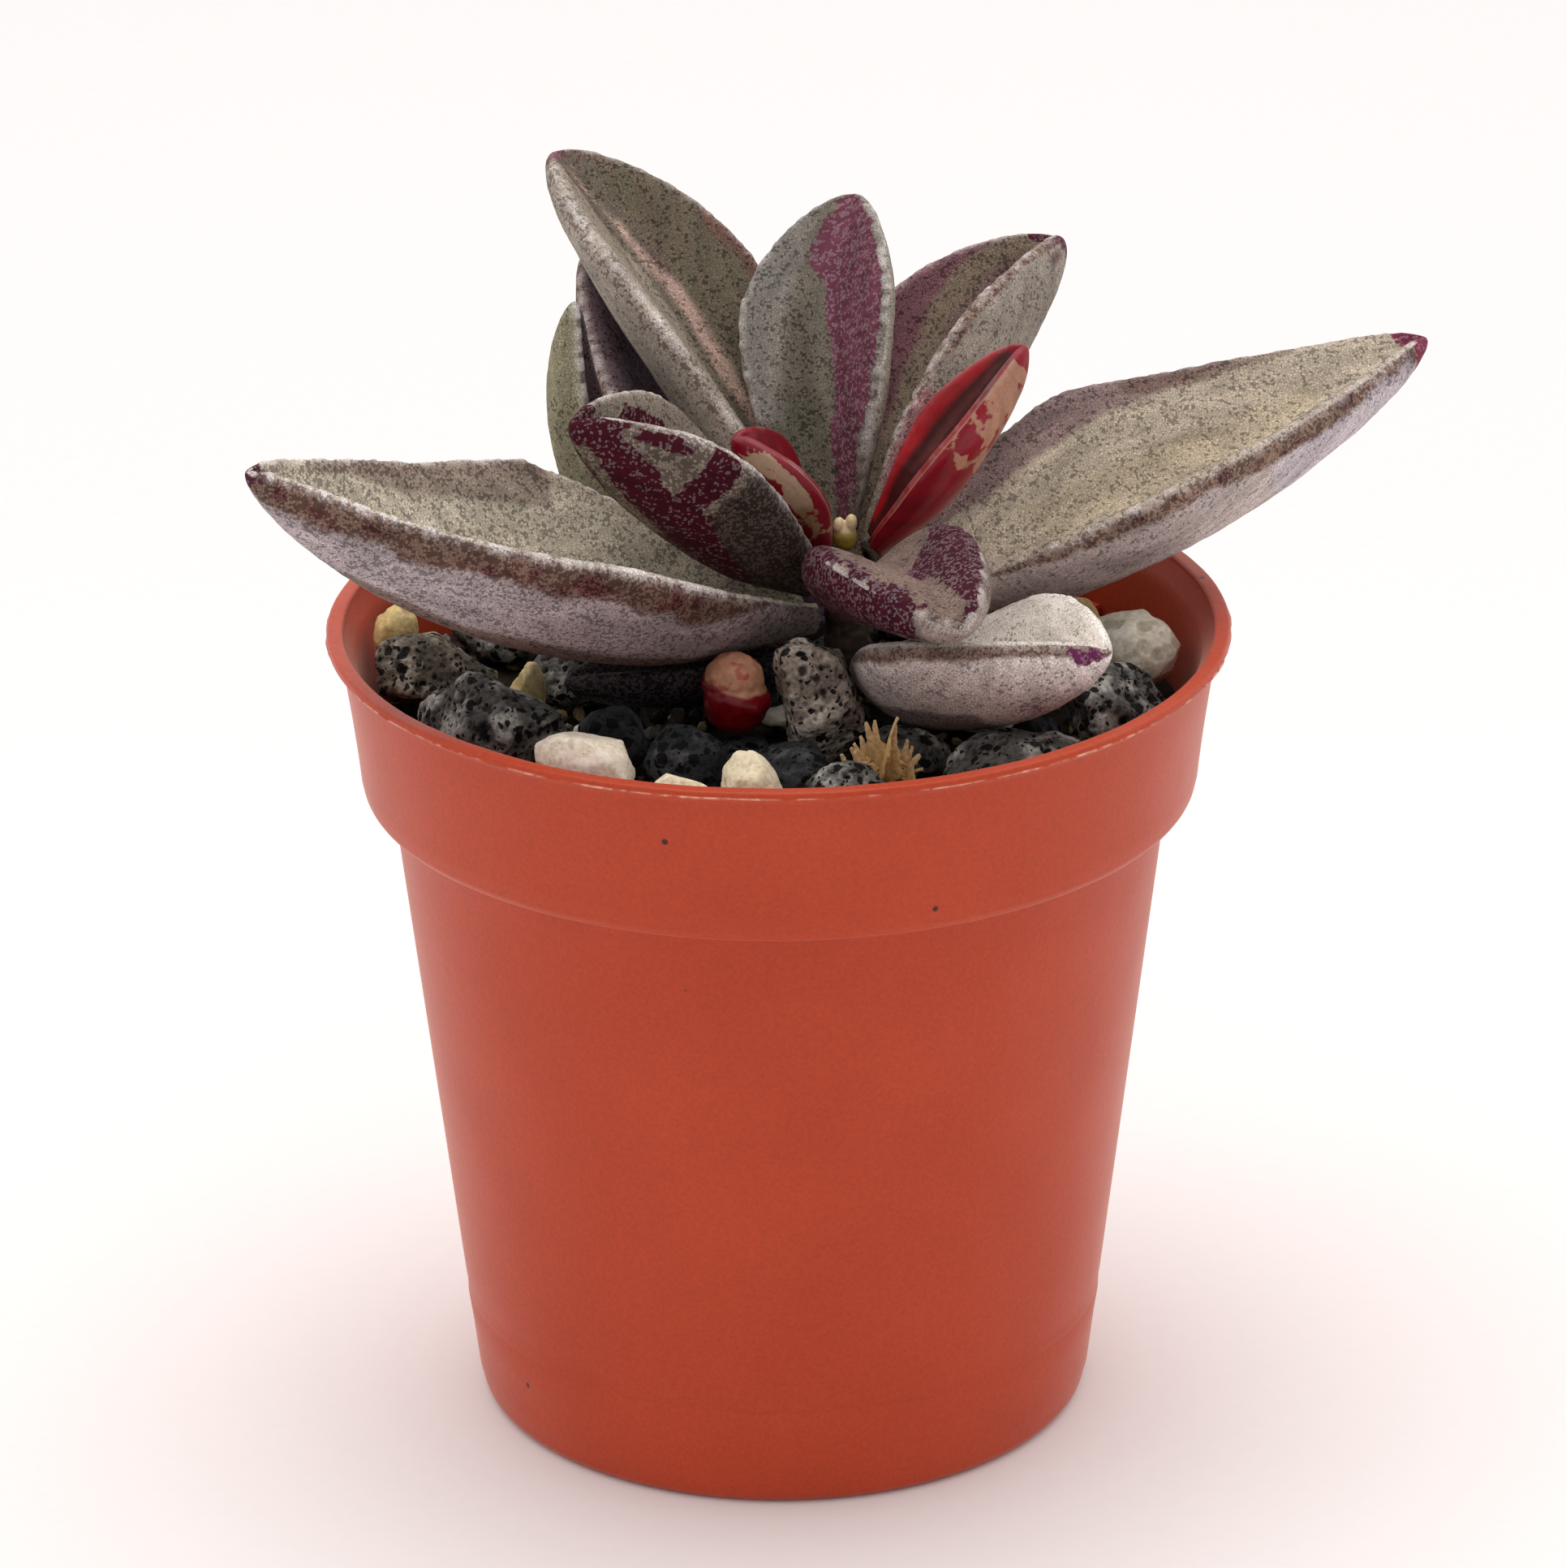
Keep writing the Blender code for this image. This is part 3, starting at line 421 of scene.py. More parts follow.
def makePot():
    look = potLook
    profile = np.array(potProfile())
    turns = 2 * np.pi * np.arange(look["steps"]) / look["steps"]
    radius, height = [np.repeat(profile[:, i:i + 1], look["steps"], 1) for i in (0, 1)]
    around = np.stack([np.cos(turns), np.sin(turns), 0 * turns], -1) * look["rim"]
    # the flash line left by the mould, ragged, and a soft unevenness of the lip
    ragged = 0.55 + 0.9 * roughNoise(around, 1.3, 5) + 0.5 * roughNoise(around, 9.0, 6)
    down = (profile[:, 1] - (look["height"] - look["flashDown"])) / look["flashTall"]
    atFlash = np.exp(-down ** 2) * (profile[:, 0] > look["rim"] - 0.05)
    radius += look["flash"] * atFlash[:, None] * np.clip(ragged, 0.05, 1.5)
    height += 0.03 * roughNoise(around, 3.0, 8) * (profile[:, 1:] > look["height"] - 0.5)
    rings = np.stack([radius * np.cos(turns), radius * np.sin(turns), height], -1)
    draft = addObject("potDraft", gridMesh("pot", rings, (0, 0, look["floor"]), (0, 0, 0)))
    extras = []
    for turn in map(math.radians, look["ribTurns"]):
        rib = bmesh.new()
        bmesh.ops.create_cube(rib, size=1)
        for vert in rib.verts:
            z = look["ribHigh"] if vert.co.z > 0 else look["ribLow"]
            out = bandRadius(z) - look["wall"] * 0.5
            if vert.co.x < 0:
                out = bandRadius(look["ribLow"]) - look["wall"] - look["ribDeep"]
            vert.co = Vector((out, vert.co.y * look["ribWide"], z)) * mm
        bmesh.ops.bevel(rib, geom=rib.edges, offset=0.12 * mm, segments=2, affect="EDGES")
        bmesh.ops.rotate(rib, verts=rib.verts, matrix=Matrix.Rotation(turn, 3, "Z"))
        extras.append((cutterObject("rib", rib), "UNION"))
    for turn in map(math.radians, look["drains"]):
        hole = bmesh.new()
        bmesh.ops.create_cone(hole, cap_ends=True, segments=48, radius1=look["drainRadius"] * mm,
                              radius2=look["drainRadius"] * mm, depth=look["drainTall"] * mm)
        cutter = cutterObject("drain", hole)
        spread = look["drainSpread"]
        cutter.location = Vector((math.cos(turn) * spread, math.sin(turn) * spread, 1)) * mm
        extras.append((cutter, "DIFFERENCE"))
    for cutter, operation in extras:
        join = draft.modifiers.new("join", "BOOLEAN")
        join.operation = operation
        join.solver = "EXACT"
        join.object = cutter
    mesh = modifiedMesh(draft)
    for used in [draft] + [cutter for cutter, _ in extras]:
        bpy.data.objects.remove(used)
    piece = finishPiece("nurseryPot", mesh, potMaterial(), ["pot"])
    piece.data.set_sharp_from_angle(angle=math.radians(50))


makePot()
print("pot made")


# Potting mix: sieved peat with fine grit, pressed by hand and dry on top.
# The eye sees near-black crumbs with paler chips caught between them.
mixLook = dict(peat="#2A211B", steps=150, edgeZ=44.5, mound=1.3, moundSpread=70, stemX=4.1,
               stemY=0.3, heap=1.5, heapX=-22, heapY=3, heapSpread=55, insetFoot=2.05, inset=1.15,
               topRadius=24.65, crumb=0.3, crumbSize=1.4, grains=1500, grainSpread=24.1,
               grainLow=0.28, grainHigh=0.85,
               chips=("#3A322B", "#2B2724", "#5A4B3B", "#6E675F", "#1F1D1C", "#A08B68", "#4B4A49"))


def mixHeight(x, y):
    look = mixLook
    mound = look["mound"] * np.exp(-((x - look["stemX"]) ** 2 + (y - look["stemY"]) ** 2)
                                   / look["moundSpread"])
    heap = look["heap"] * np.exp(-((x - look["heapX"]) ** 2 + (y - look["heapY"]) ** 2)
                                 / look["heapSpread"])
    return look["edgeZ"] + mound + heap


def makeMix():
    look = mixLook
    turns = 2 * np.pi * np.arange(look["steps"]) / look["steps"]
    sides = [(wallRadius(1.6) - look["insetFoot"], 1.5), (wallRadius(2.4) - look["inset"], 2.4),
             (wallRadius(40.4) - look["inset"], 40.5), (24.0, 42.0)]
    rings = [np.stack([r * np.cos(turns), r * np.sin(turns), z + 0 * turns], -1) for r, z in sides]
    for r in np.linspace(look["topRadius"], 0.5, 55):
        flat = np.stack([r * np.cos(turns), r * np.sin(turns), 0 * turns], -1)
        crumbs = look["crumb"] * roughNoise(flat, look["crumbSize"], 21)
        flat[:, 2] = mixHeight(flat[:, 0], flat[:, 1]) + crumbs
        rings.append(flat)
    top = (0, 0, float(mixHeight(0, 0)))
    mesh = gridMesh("mix", np.array(rings), (0, 0, 1.5), top)
    points = [tuple(v.co) for v in mesh.vertices]
    faces = [tuple(p.vertices) for p in mesh.polygons]
    tints = [linear(look["peat"])] * len(points)
    draw = random.Random(7)
    chips = [linear(c) for c in look["chips"]]
    ball = bmesh.new()
    bmesh.ops.create_icosphere(ball, subdivisions=1, radius=1)
    ballPoints = [v.co.copy() for v in ball.verts]
    ballFaces = [[v.index for v in f.verts] for f in ball.faces]
    ball.free()
    for _ in range(look["grains"]):  # loose chips lying on the mix
        away = look["grainSpread"] * math.sqrt(draw.random())
        turn = draw.uniform(0, 2 * math.pi)
        x, y = away * math.cos(turn), away * math.sin(turn)
        size = draw.uniform(look["grainLow"], look["grainHigh"]) * draw.uniform(0.6, 1)
        spin = Matrix.Rotation(draw.uniform(0, 6.3), 3, (draw.random(), draw.random(), 0.3))
        stretch = Vector([size * draw.uniform(0.6, 1.2) for _ in range(3)])
        middle = Vector((x, y, float(mixHeight(x, y)) + size * 0.35))
        start = len(points)
        for corner in ballPoints:
            moved = spin @ (corner * draw.uniform(0.75, 1.15) * stretch) + middle
            points.append(tuple(moved * mm))
        faces += [tuple(start + i for i in face) for face in ballFaces]
        tints += [draw.choice(chips)] * len(ballPoints)
    whole = bpy.data.meshes.new("potting mix")
    whole.from_pydata(points, [], faces)
    addValues(whole, "tint", tints)
    material = plainSkin("peat and grit mix, sieved and dry", 0.95, 0.5, 1.4, 2500, 0.6,
                         {"IOR": 1.45, "Specular IOR Level": 0.15}, 0.0002)
    piece = finishPiece("pottingMix", whole, material, ["potting_mix"])
    piece.data.set_sharp_from_angle(angle=math.radians(35))


makeMix()
print("potting mix made")


# Leaves: thick boat-shaped blades with a crystalline scurf over the skin.
# sweep runs over a face from its left margin, 0, to its right one, 1, as seen from the foot. A mark
# is a crisp patch of the leaf's second colour, and a blush is a soft patch of its own colour; each
# is a face ("clear" cuts a mark back) and rows of (share of the length, sweep at the patch's left,
# sweep at its right).
# foot is the colour of the painted shade laid on the outside near each leaf's foot
leafBase = dict(swing=0, roll=0, twist=0, close=-4, crease=0.36, widest=0.52, point=1.7, neck=0.22,
                reach=2.65, thick=2.6, mark="#5E2A40", band="#80604C", foot="#5F5048", marks=(),
                blushes=(), inCover=0.9, outCover=0.94, inFleck=0.3, outFleck=0.25, bandLeft=0.0,
                bandRight=0.0, blotch=0.6, ragged=0.5, tipMark=0.0, wrinkle=0.0, stripes=0.0,
                marble=9.0, rim=0.55, skin="grown", lump=0.09, lumpSize=3.4, crust=0.035,
                crustSize=0.55, ridge=0.1, ridgeWide=0.45, bead=0.12, beadSize=0.38, beadWide=0.36,
                wrinkleDeep=0.05, wrinkleGap=0.95, blotchTint="#571C24", edgeTint="#E8E0DC")
leafLook = {
    "leaf_left_large": dict(
        turn=205, swing=4, rise=-1, curl=49, roll=-6, twist=-10, length=41.2, half=10.3, fold=53,
        close=8, widest=0.47, point=1.22, z=51.3, thick=3.0, band="#6E4C38", inner="#D6CBB8",
        outer="#B3A4A6", bandLeft=2.6, bandRight=1.6, blotch=0.9, inCover=0.84, outCover=0.84,
        inFleck=0.5, outFleck=0.6, tipMark=0.9, rim=0.85, mark="#4E2233",
        blushes=(("in", "#765A50", 0.6, (0.42, 0.85, 1.05), (0.65, 0.82, 1.05), (0.88, 0.86, 1.05)),
                 # painted shade: this outside blush darkens the middle of the leaf's underside
                 ("out", "#664B3C", 0.8, (0.05, 0.3, 0.7), (0.5, 0.3, 0.7), (0.8, 0.35, 0.6)))),
    "leaf_right_large": dict(
        turn=20, swing=7, rise=4, curl=29, roll=5, twist=-10, length=39.4, half=10.4, fold=52,
        widest=0.45, point=1.2, z=50.8, thick=3.0, inner="#C0B29F", outer="#BFB0AC", inFleck=0.45,
        bandRight=1.5, bandLeft=0.5, blotch=0.9, tipMark=1.8, mark="#7E3049", rim=0.5,
        blushes=(("in", "#83626A", 0.75, (0.06, -0.05, 0.16), (0.3, -0.05, 0.17), (0.56, -0.05, 0.12),
                  (0.72, -0.05, 0.05)),
                 ("in", "#6E5446", 0.7, (0.53, -0.05, 0.1), (0.68, -0.05, 0.1), (0.82, -0.05, 0.06)),
                 ("in", "#B9A680", 0.3, (0.28, 0.3, 0.5), (0.55, 0.3, 0.55), (0.8, 0.32, 0.52)),
                 # painted light: this outside blush paints the outside pale lilac towards its tip, where it
                 # catches the light
                 ("out", "#C9BEC6", 0.7, (0.62, 0.62, 0.92), (0.95, 0.6, 0.95)))),
    "leaf_back_tall": dict(
        turn=131, swing=-2, rise=46, curl=-11, roll=16, twist=-24, length=33.3, half=7.0, fold=54,
        close=-10, widest=0.62, point=1.5, z=52.2, thick=2.8, inner="#6E6354", outer="#9C9286",
        mark="#7A4E58", tipMark=1.0, stripes=0.45, bandLeft=0.8, bandRight=1.0,
        blushes=(("in", "#625A42", 0.6, (0.2, 0.64, 1.05), (0.92, 0.6, 1.05)),
                 ("in", "#A59887", 0.8, (0.1, -0.05, 0.5), (0.7, -0.05, 0.48), (0.95, -0.05, 0.3)),
                 ("in", "#4E3A36", 0.6, (0.5, 0.56, 0.62), (0.8, 0.56, 0.6), (0.93, 0.5, 0.56)),
                 ("out", "#4E1E22", 0.8, (0.5, 0.0, 0.05), (0.54, 0.0, 0.07)),
                 ("in", "#4E1E22", 0.8, (0.3, -0.02, 0.05), (0.4, -0.02, 0.05)),
                 ("in", "#6E4038", 0.7, (0.45, 0.92, 1.05), (0.75, 0.92, 1.05)),
                 ("in", "#C0A092", 0.9, (0.3, 0.55, 0.62), (0.58, 0.55, 0.62), (0.82, 0.47, 0.54),
                  (0.96, 0.37, 0.45)),
                 ("in", "#B4A79B", 0.75, (0.15, -0.05, 0.05), (0.95, -0.05, 0.07)),
                 ("out", "#AC9E92", 0.7, (0.2, -0.05, 0.08), (0.95, -0.05, 0.1)))),
    "leaf_front_right": dict(
        turn=-55, swing=22, rise=-4, curl=47, roll=-3, twist=4, length=21.4, half=8.2, fold=47,
        close=5, widest=0.48, point=2.1, z=48.0, thick=2.8, inner="#FAF1E6", outer="#EADEDA",
        inCover=0.98, inFleck=0.15, outFleck=0.3, bandRight=1.0, blotch=0.5, mark="#6E2B55",
        marks=(("out", (0.945, 0.76, 1.0), (1.0, 0.7, 1.0)),),
        blushes=(("out", "#5E4144", 0.7, (0.1, 0.48, 0.8), (0.5, 0.48, 0.74), (0.6, 0.5, 0.7)),)),
    "leaf_back_centre": dict(
        turn=98, swing=-24, rise=59, curl=-15, roll=-24, twist=10, length=22.1, half=6.0, fold=50,
        close=-12, widest=0.6, point=1.5, z=55.4, thick=2.4, inner="#6B6356", outer="#968D80",
        mark="#6C3A4A", wrinkle=1.0, inFleck=0.5, ragged=0.3,
        marks=(("in", (-0.05, 0.53, 0.93), (0.3, 0.53, 0.96), (0.46, 0.56, 0.99), (0.58, 0.5, 0.99),
                (0.7, 0.46, 0.99), (0.78, 0.3, 0.98), (1.05, 0.25, 0.96)),),
        blushes=(("in", "#868078", 0.8, (0.3, -0.05, 0.2), (0.6, -0.05, 0.28), (0.9, -0.05, 0.25)),
                 ("in", "#4E4A38", 0.5, (0.05, 0.1, 0.5), (0.4, 0.15, 0.5)))),
    "leaf_front_centre": dict(
        turn=-75, swing=6, rise=29, curl=-29, roll=3, twist=10, length=20.7, half=5.4, fold=49,
        close=-17, widest=0.38, point=2.1, z=53.2, thick=3.8, reach=2.3, inner="#796358",
        outer="#79665E", mark="#420E20", ragged=0.6, rim=0.45,
        marks=(("out", (-0.05, 0.6, 1.05), (0.5, 0.66, 1.05), (0.9, 0.74, 1.05)),
               ("in", (-0.05, 0.88, 1.05), (0.9, 0.9, 1.05)),
               ("in", (0.36, -0.05, 0.12), (0.5, -0.05, 0.34), (0.62, -0.05, 0.5), (0.8, -0.05, 0.4),
                (0.97, -0.05, 0.2))),
        blushes=(("out", "#A3918A", 0.8, (0.9, -0.05, 1.05), (1.05, -0.05, 1.05)),)),
    "leaf_back_right": dict(
        turn=54, swing=-3, rise=34, curl=7, roll=-32, twist=29, length=25.1, half=8.4, fold=60,
        close=5, widest=0.59, point=1.55, z=53.8, thick=2.4, inner="#8C7A68", outer="#A0958A",
        mark="#5A2438", tipMark=1.2, inFleck=0.45, bandRight=0.6, blotch=1.0,
        blushes=(("in", "#7A4A56", 0.9, (0.05, -0.05, 0.2), (0.4, -0.05, 0.26), (0.6, -0.05, 0.24),
                  (0.75, -0.05, 0.16), (0.92, -0.05, 0.06)),
                 ("out", "#5A2430", 0.8, (0.86, 0.84, 0.92), (0.92, 0.84, 0.94)),
                 ("in", "#8A5A62", 0.6, (0.08, 0.4, 0.56), (0.42, 0.38, 0.5)),
                 ("in", "#7A5560", 0.6, (0.62, 0.3, 0.4), (0.95, 0.25, 0.36)),
                 ("out", "#A56A70", 0.8, (0.12, 0.9, 1.05), (0.36, 0.92, 1.05)),
                 ("out", "#5E4A3E", 0.7, (0.1, 0.45, 0.88), (0.42, 0.5, 0.86)))),
    "leaf_left_mid": dict(
        turn=208, swing=-3, rise=27, curl=26, twist=-6, length=20.6, half=7.4, fold=51, close=16,
        widest=0.58, point=1.95, z=53.6, inner="#8A7E70", outer="#85766A", mark="#420A1A",
        tipMark=1.0, outFleck=0.3, outCover=0.5, ragged=0.45,
        marks=(("in", (0.5, 0.55, 0.8), (0.66, 0.5, 0.86), (0.84, 0.6, 0.88)),
               ("out", (0.6, -0.1, 1.1), (1.1, -0.1, 1.1)),
               ("out", (0.2, 0.34, 0.44), (0.62, 0.2, 0.5)),
               ("clear", (0.69, 0.16, 0.24), (0.74, -0.15, 0.22), (0.8, -0.15, 0.18), (0.92, -0.1, 0.1)),
               ("clear", (0.4, 0.44, 0.5), (0.62, 0.4, 0.5), (0.95, 0.34, 0.44)),
               ("out", (0.75, 0.02, 0.09), (0.82, 0.0, 0.12), (0.9, 0.02, 0.1))),
        blushes=(("out", "#43342B", 0.92, (-0.1, -0.05, 0.5), (0.56, -0.05, 0.5)),)),
    "leaf_red_right": dict(
        turn=-7, swing=5, rise=43, curl=25, roll=13, twist=6, length=16.0, half=3.9, fold=56,
        close=-2, point=1.65, z=55.7, thick=2.0, reach=1.95, neck=0.3, inner="#400A0D",
        outer="#AE7C64", mark="#8C0A20", skin="red", ragged=0.9, tipMark=0.9, marble=0.26,
        marks=(("out", (-0.1, -0.1, 1.1), (0.5, -0.1, 1.1)), ("out", (0.45, 0.5, 0.64), (0.8, 0.56, 0.66))),
        blushes=(("in", "#A6101C", 0.95, (0.05, -0.05, 0.18), (1.0, -0.05, 0.22)),
                 # painted reflection: this inside blush paints a brownish sheen stripe along the crimson
                 # inside
                 ("in", "#7A3B38", 0.7, (0.3, 0.26, 0.34), (0.95, 0.3, 0.4)),
                 ("in", "#9A1B22", 0.9, (0.05, 0.9, 1.05), (1.0, 0.9, 1.05)))),
    "leaf_red_left": dict(
        turn=202, swing=-1, rise=54, curl=8, roll=-6, twist=-5, length=9.8, half=4.2, fold=47,
        close=3, widest=0.55, point=1.8, z=55.35, thick=1.9, reach=1.95, neck=0.3,
        inner="#780818", outer="#B4947C", mark="#860820", skin="red", ragged=1.0, tipMark=1.2,
        marble=-0.04,
        marks=(("out", (-0.1, -0.1, 1.1), (0.2, -0.1, 1.1)), ("out", (0.2, 0.4, 0.6), (0.5, 0.44, 0.56)),
               ("out", (0.3, -0.05, 0.05), (0.98, -0.05, 0.07))),
        blushes=(("out", "#8F7550", 0.8, (0.24, 0.06, 0.3), (0.5, 0.06, 0.24)),)),
    "leaf_back_low": dict(
        turn=133, swing=-8, rise=32, curl=18, twist=-5, length=29.4, half=6.3, fold=44, close=-9,
        z=49.1, thick=2.8, inner="#7A6670", outer="#8A7D80", bandLeft=0.8),
    # the inside's dark purple is partly the leaf's own colour and partly painted shade on its shaded side
    "leaf_far_left": dict(
        turn=165, swing=-3, rise=9, curl=97, roll=8, twist=2, length=30.0, half=3.6, fold=50,
        point=1.65, z=47.4, inner="#3F2C30", outer="#8F896E"),
    # painted shade: this dark purple leaf lies under the left leaf and is painted near-black for the shade
    # there
    "leaf_under_left": dict(
        turn=204, swing=-6, rise=-4, curl=16, length=15.8, half=3.2, fold=44, close=-6, point=1.8,
        z=48.3, thick=2.4, inner="#2C1A20", outer="#22171B", inCover=0.6, outCover=0.6, rim=0.05),
}


def leafWidth(share, leaf):  # half the blade's width if it were flat
    early = np.clip(share / leaf["widest"], 0, 1)
    late = np.clip((share - leaf["widest"]) / (1 - leaf["widest"]), 0, 1)
    rise = leaf["neck"] + (1 - leaf["neck"]) * np.sin(np.pi / 2 * early)
    return leaf["half"] * np.where(share < leaf["widest"], rise, (1 - late ** leaf["point"]) ** 0.72)


def leafAxes(share, leaf):
    slope = np.radians(leaf["rise"] + leaf["curl"] * share)
    heading = np.radians(leaf["turn"] + leaf["swing"] * share)
    flat = np.cos(slope)
    along = np.stack([flat * np.cos(heading), flat * np.sin(heading), np.sin(slope)], -1)
    return along, np.stack([-np.sin(heading), np.cos(heading), 0 * heading], -1)


def leafMidrib(share, leaf, steps=120):
    middles = (np.arange(steps) + 0.5) / steps
    pace = leafAxes(middles, leaf)[0] * leaf["length"] / steps
    heading = math.radians(leaf["turn"])
    foot = (mixLook["stemX"] + leaf["reach"] * math.cos(heading),
            mixLook["stemY"] + leaf["reach"] * math.sin(heading), leaf["z"])
    path = np.concatenate([np.zeros((1, 3)), np.cumsum(pace, 0)]) + np.array(foot)
    marks = np.arange(steps + 1) / steps
    return np.stack([np.interp(share, marks, path[:, i]) for i in range(3)], -1)


def leafSection(share, sideways, top, leaf, width):
    fold = np.radians(leaf["fold"] + leaf["close"] * share)
    crease = leaf["crease"]
    full = math.tanh(1 / crease)
    inner = (np.arange(16) + 0.5) / 16 * sideways[..., None]
    slant = fold[..., None] * np.tanh(inner / crease) / full
    edge = fold * np.tanh(sideways / crease) / full
    body = leaf["thick"] * (0.55 + 0.45 * smoothStep(share, 0, 0.3))
    body = body * np.sqrt(1 - np.clip(share, 0, 1) ** 5)
    roundOff = (1 - np.abs(sideways) ** 2.8) ** (1 / 2.8)
    depth = body * roundOff * np.where(top, 0.4, -0.6)
    over = np.cos(slant).mean(-1) * sideways * width - depth * np.sin(edge)
    return over, np.sin(slant).mean(-1) * sideways * width + depth * np.cos(edge)


def patchDepth(rows, share, sweep, leaf, arc):  # mm inside a patch, below 0 outside it
    shares, lefts, rights = zip(*rows)
    across = np.minimum(sweep - np.interp(share, shares, lefts), np.interp(share, shares, rights) - sweep)
    ends = np.minimum(share - shares[0], shares[-1] - share)
    return np.minimum(ends * leaf["length"], across * arc)


# Two skins. The grown one is flesh under a felt of pale crystals, part of them worn off so that
# the darker flesh shows between; the youngest leaves have none yet and shine like wax. pace is the
# mm between the points of the mesh, felt and markFelt whiten the crystals on skin and on marks.
leafSkins = dict(
    grown=dict(name="lenophyllum skin, crystalline scurf over flesh", slot="scurfy_leaf", pace=0.176,
               rough=0.72, specular=0.16, coat=0.0, flesh=0.03, crystal=1.36, between=0.48,
               felt=0.05, markFelt=0.16, bump=0.5, relief=1.0, pale=1.0, fleck=1.0),
    red=dict(name="young lenophyllum skin, smooth and waxy", slot="red_leaf", pace=0.13, rough=0.34,
             specular=0.32, coat=0.22, flesh=0.06, crystal=1.15, between=0.95, felt=0.0,
             markFelt=0.0, bump=0.1, relief=0.3, pale=0.1765, fleck=0.12))


def leafMaterial(look):
    material, fill, node = newMaterial(look["name"], {
        "Roughness": look["rough"], "IOR": 1.42, "Specular IOR Level": look["specular"],
        "Coat Weight": look["coat"], "Coat Roughness": 0.14, "Subsurface Weight": look["flesh"],
        "Subsurface Scale": 0.0015})
    place = node("TexCoord", output="Object")
    flow = node("Attribute", output="Vector", attribute_name="flow")
    skin, mark = [node("Attribute", output="Color", attribute_name=name) for name in ("skin", "mark")]
    markEdge, cover, fleck = [node("Attribute", output="Fac", attribute_name=name)
                              for name in ("markEdge", "cover", "fleck")]
    # the marks' edges wander by 0.3 mm
    wander = node("TexNoise", {"Vector": place, "Scale": 2200, "Detail": 3})
    shifted = node("MapRange", {0: wander, 3: -0.6, 4: 0.6}, clamp=False)
    edge = node("Math", {0: markEdge, 1: shifted}, operation="ADD")
    marked = node("MapRange", {0: edge, 1: -0.1, 2: 0.1}, interpolation_type="SMOOTHSTEP")
    colour = node("Mix", {0: marked, 6: skin, 7: mark}, 2, data_type="RGBA")
    # tone drifts along the blade in streaks 1 mm wide and 4 mm long
    streaks = node("Mapping", {"Vector": flow, "Scale": (0.25, 1, 1)})
    drift = node("TexNoise", {"Vector": streaks, "Scale": 1.0, "Detail": 4})
    tone = node("MapRange", {0: drift, 1: 0.3, 2: 0.7, 3: 0.72, 4: 1.2})
    colour = node("VectorMath", {0: colour, "Scale": tone}, operation="SCALE")
    # dark flecks where the felt is rubbed off, 0.4 mm, in loose drifts 2 mm across
    fine = node("Mapping", {"Vector": flow, "Scale": (0.7, 1, 1)})
    spots = node("TexNoise", {"Vector": fine, "Scale": 2.6, "Detail": 2.5})
    drifts = node("TexNoise", {"Vector": flow, "Scale": 0.5, "Detail": 2})
    limit = node("MapRange", {0: drifts, 1: 0.3, 2: 0.7, 3: -0.06, 4: 0.06}, clamp=False)
    spots = node("Math", {0: spots, 1: limit}, operation="ADD")
    bare = node("MapRange", {0: spots, 1: 0.57, 2: 0.64})
    bare = node("Math", {0: bare, 1: fleck}, operation="MULTIPLY")
    # crystals: cells 0.18 mm across, each there or gone by its own draw, in clumps of 1 mm, with
    # dark cracks between; real ones are near 0.1 mm, too fine for the picture
    grains = node("TexVoronoi", {"Vector": place, "Scale": 5600}, "Color")
    draw, shade = node("SeparateColor", {0: grains}, (0, 1))
    clumps = node("TexNoise", {"Vector": place, "Scale": 950, "Detail": 2})
    shift = node("MapRange", {0: clumps, 1: 0.3, 2: 0.7, 3: -0.12, 4: 0.12}, clamp=False)
    wanted = node("Math", {0: cover, 1: shift}, operation="ADD")
    wanted = node("Math", {0: wanted, 1: bare}, operation="SUBTRACT")
    # marks keep their own colour between a few crystals
    fewer = node("MapRange", {0: marked, 3: 1.0, 4: 0.45})
    wanted = node("Math", {0: wanted, 1: fewer}, operation="MULTIPLY")
    there = node("Math", {0: draw, 1: wanted}, operation="LESS_THAN")
    border = node("TexVoronoi", {"Vector": place, "Scale": 5600}, "Distance", feature="DISTANCE_TO_EDGE")
    body = node("MapRange", {0: border, 1: 0.0, 2: 0.1})
    crystal = node("Math", {0: there, 1: body}, operation="MULTIPLY")
    high = node("MapRange", {0: shade, 3: 1.0, 4: look["crystal"]})
    low = node("MapRange", {0: marked, 3: look["between"], 4: 0.95})
    light = node("Mix", {0: crystal, 2: low, 3: high}, data_type="FLOAT")
    colour = node("VectorMath", {0: colour, "Scale": light}, operation="SCALE")
    white = node("MapRange", {0: marked, 3: look["felt"], 4: look["markFelt"]})
    felt = node("Math", {0: crystal, 1: white}, operation="MULTIPLY")
    colour = node("Mix", {0: felt, 6: colour, 7: linear("#DAD4D6")}, 2, data_type="RGBA")
    height = node("Math", {0: crystal, 1: wander}, operation="ADD")
    fill({"Base Color": colour,
          "Normal": node("Bump", {"Strength": look["bump"], "Distance": 0.00008, "Height": height})})
    return material


for leafSkin in leafSkins.values():
    leafSkin["material"] = leafMaterial(leafSkin)


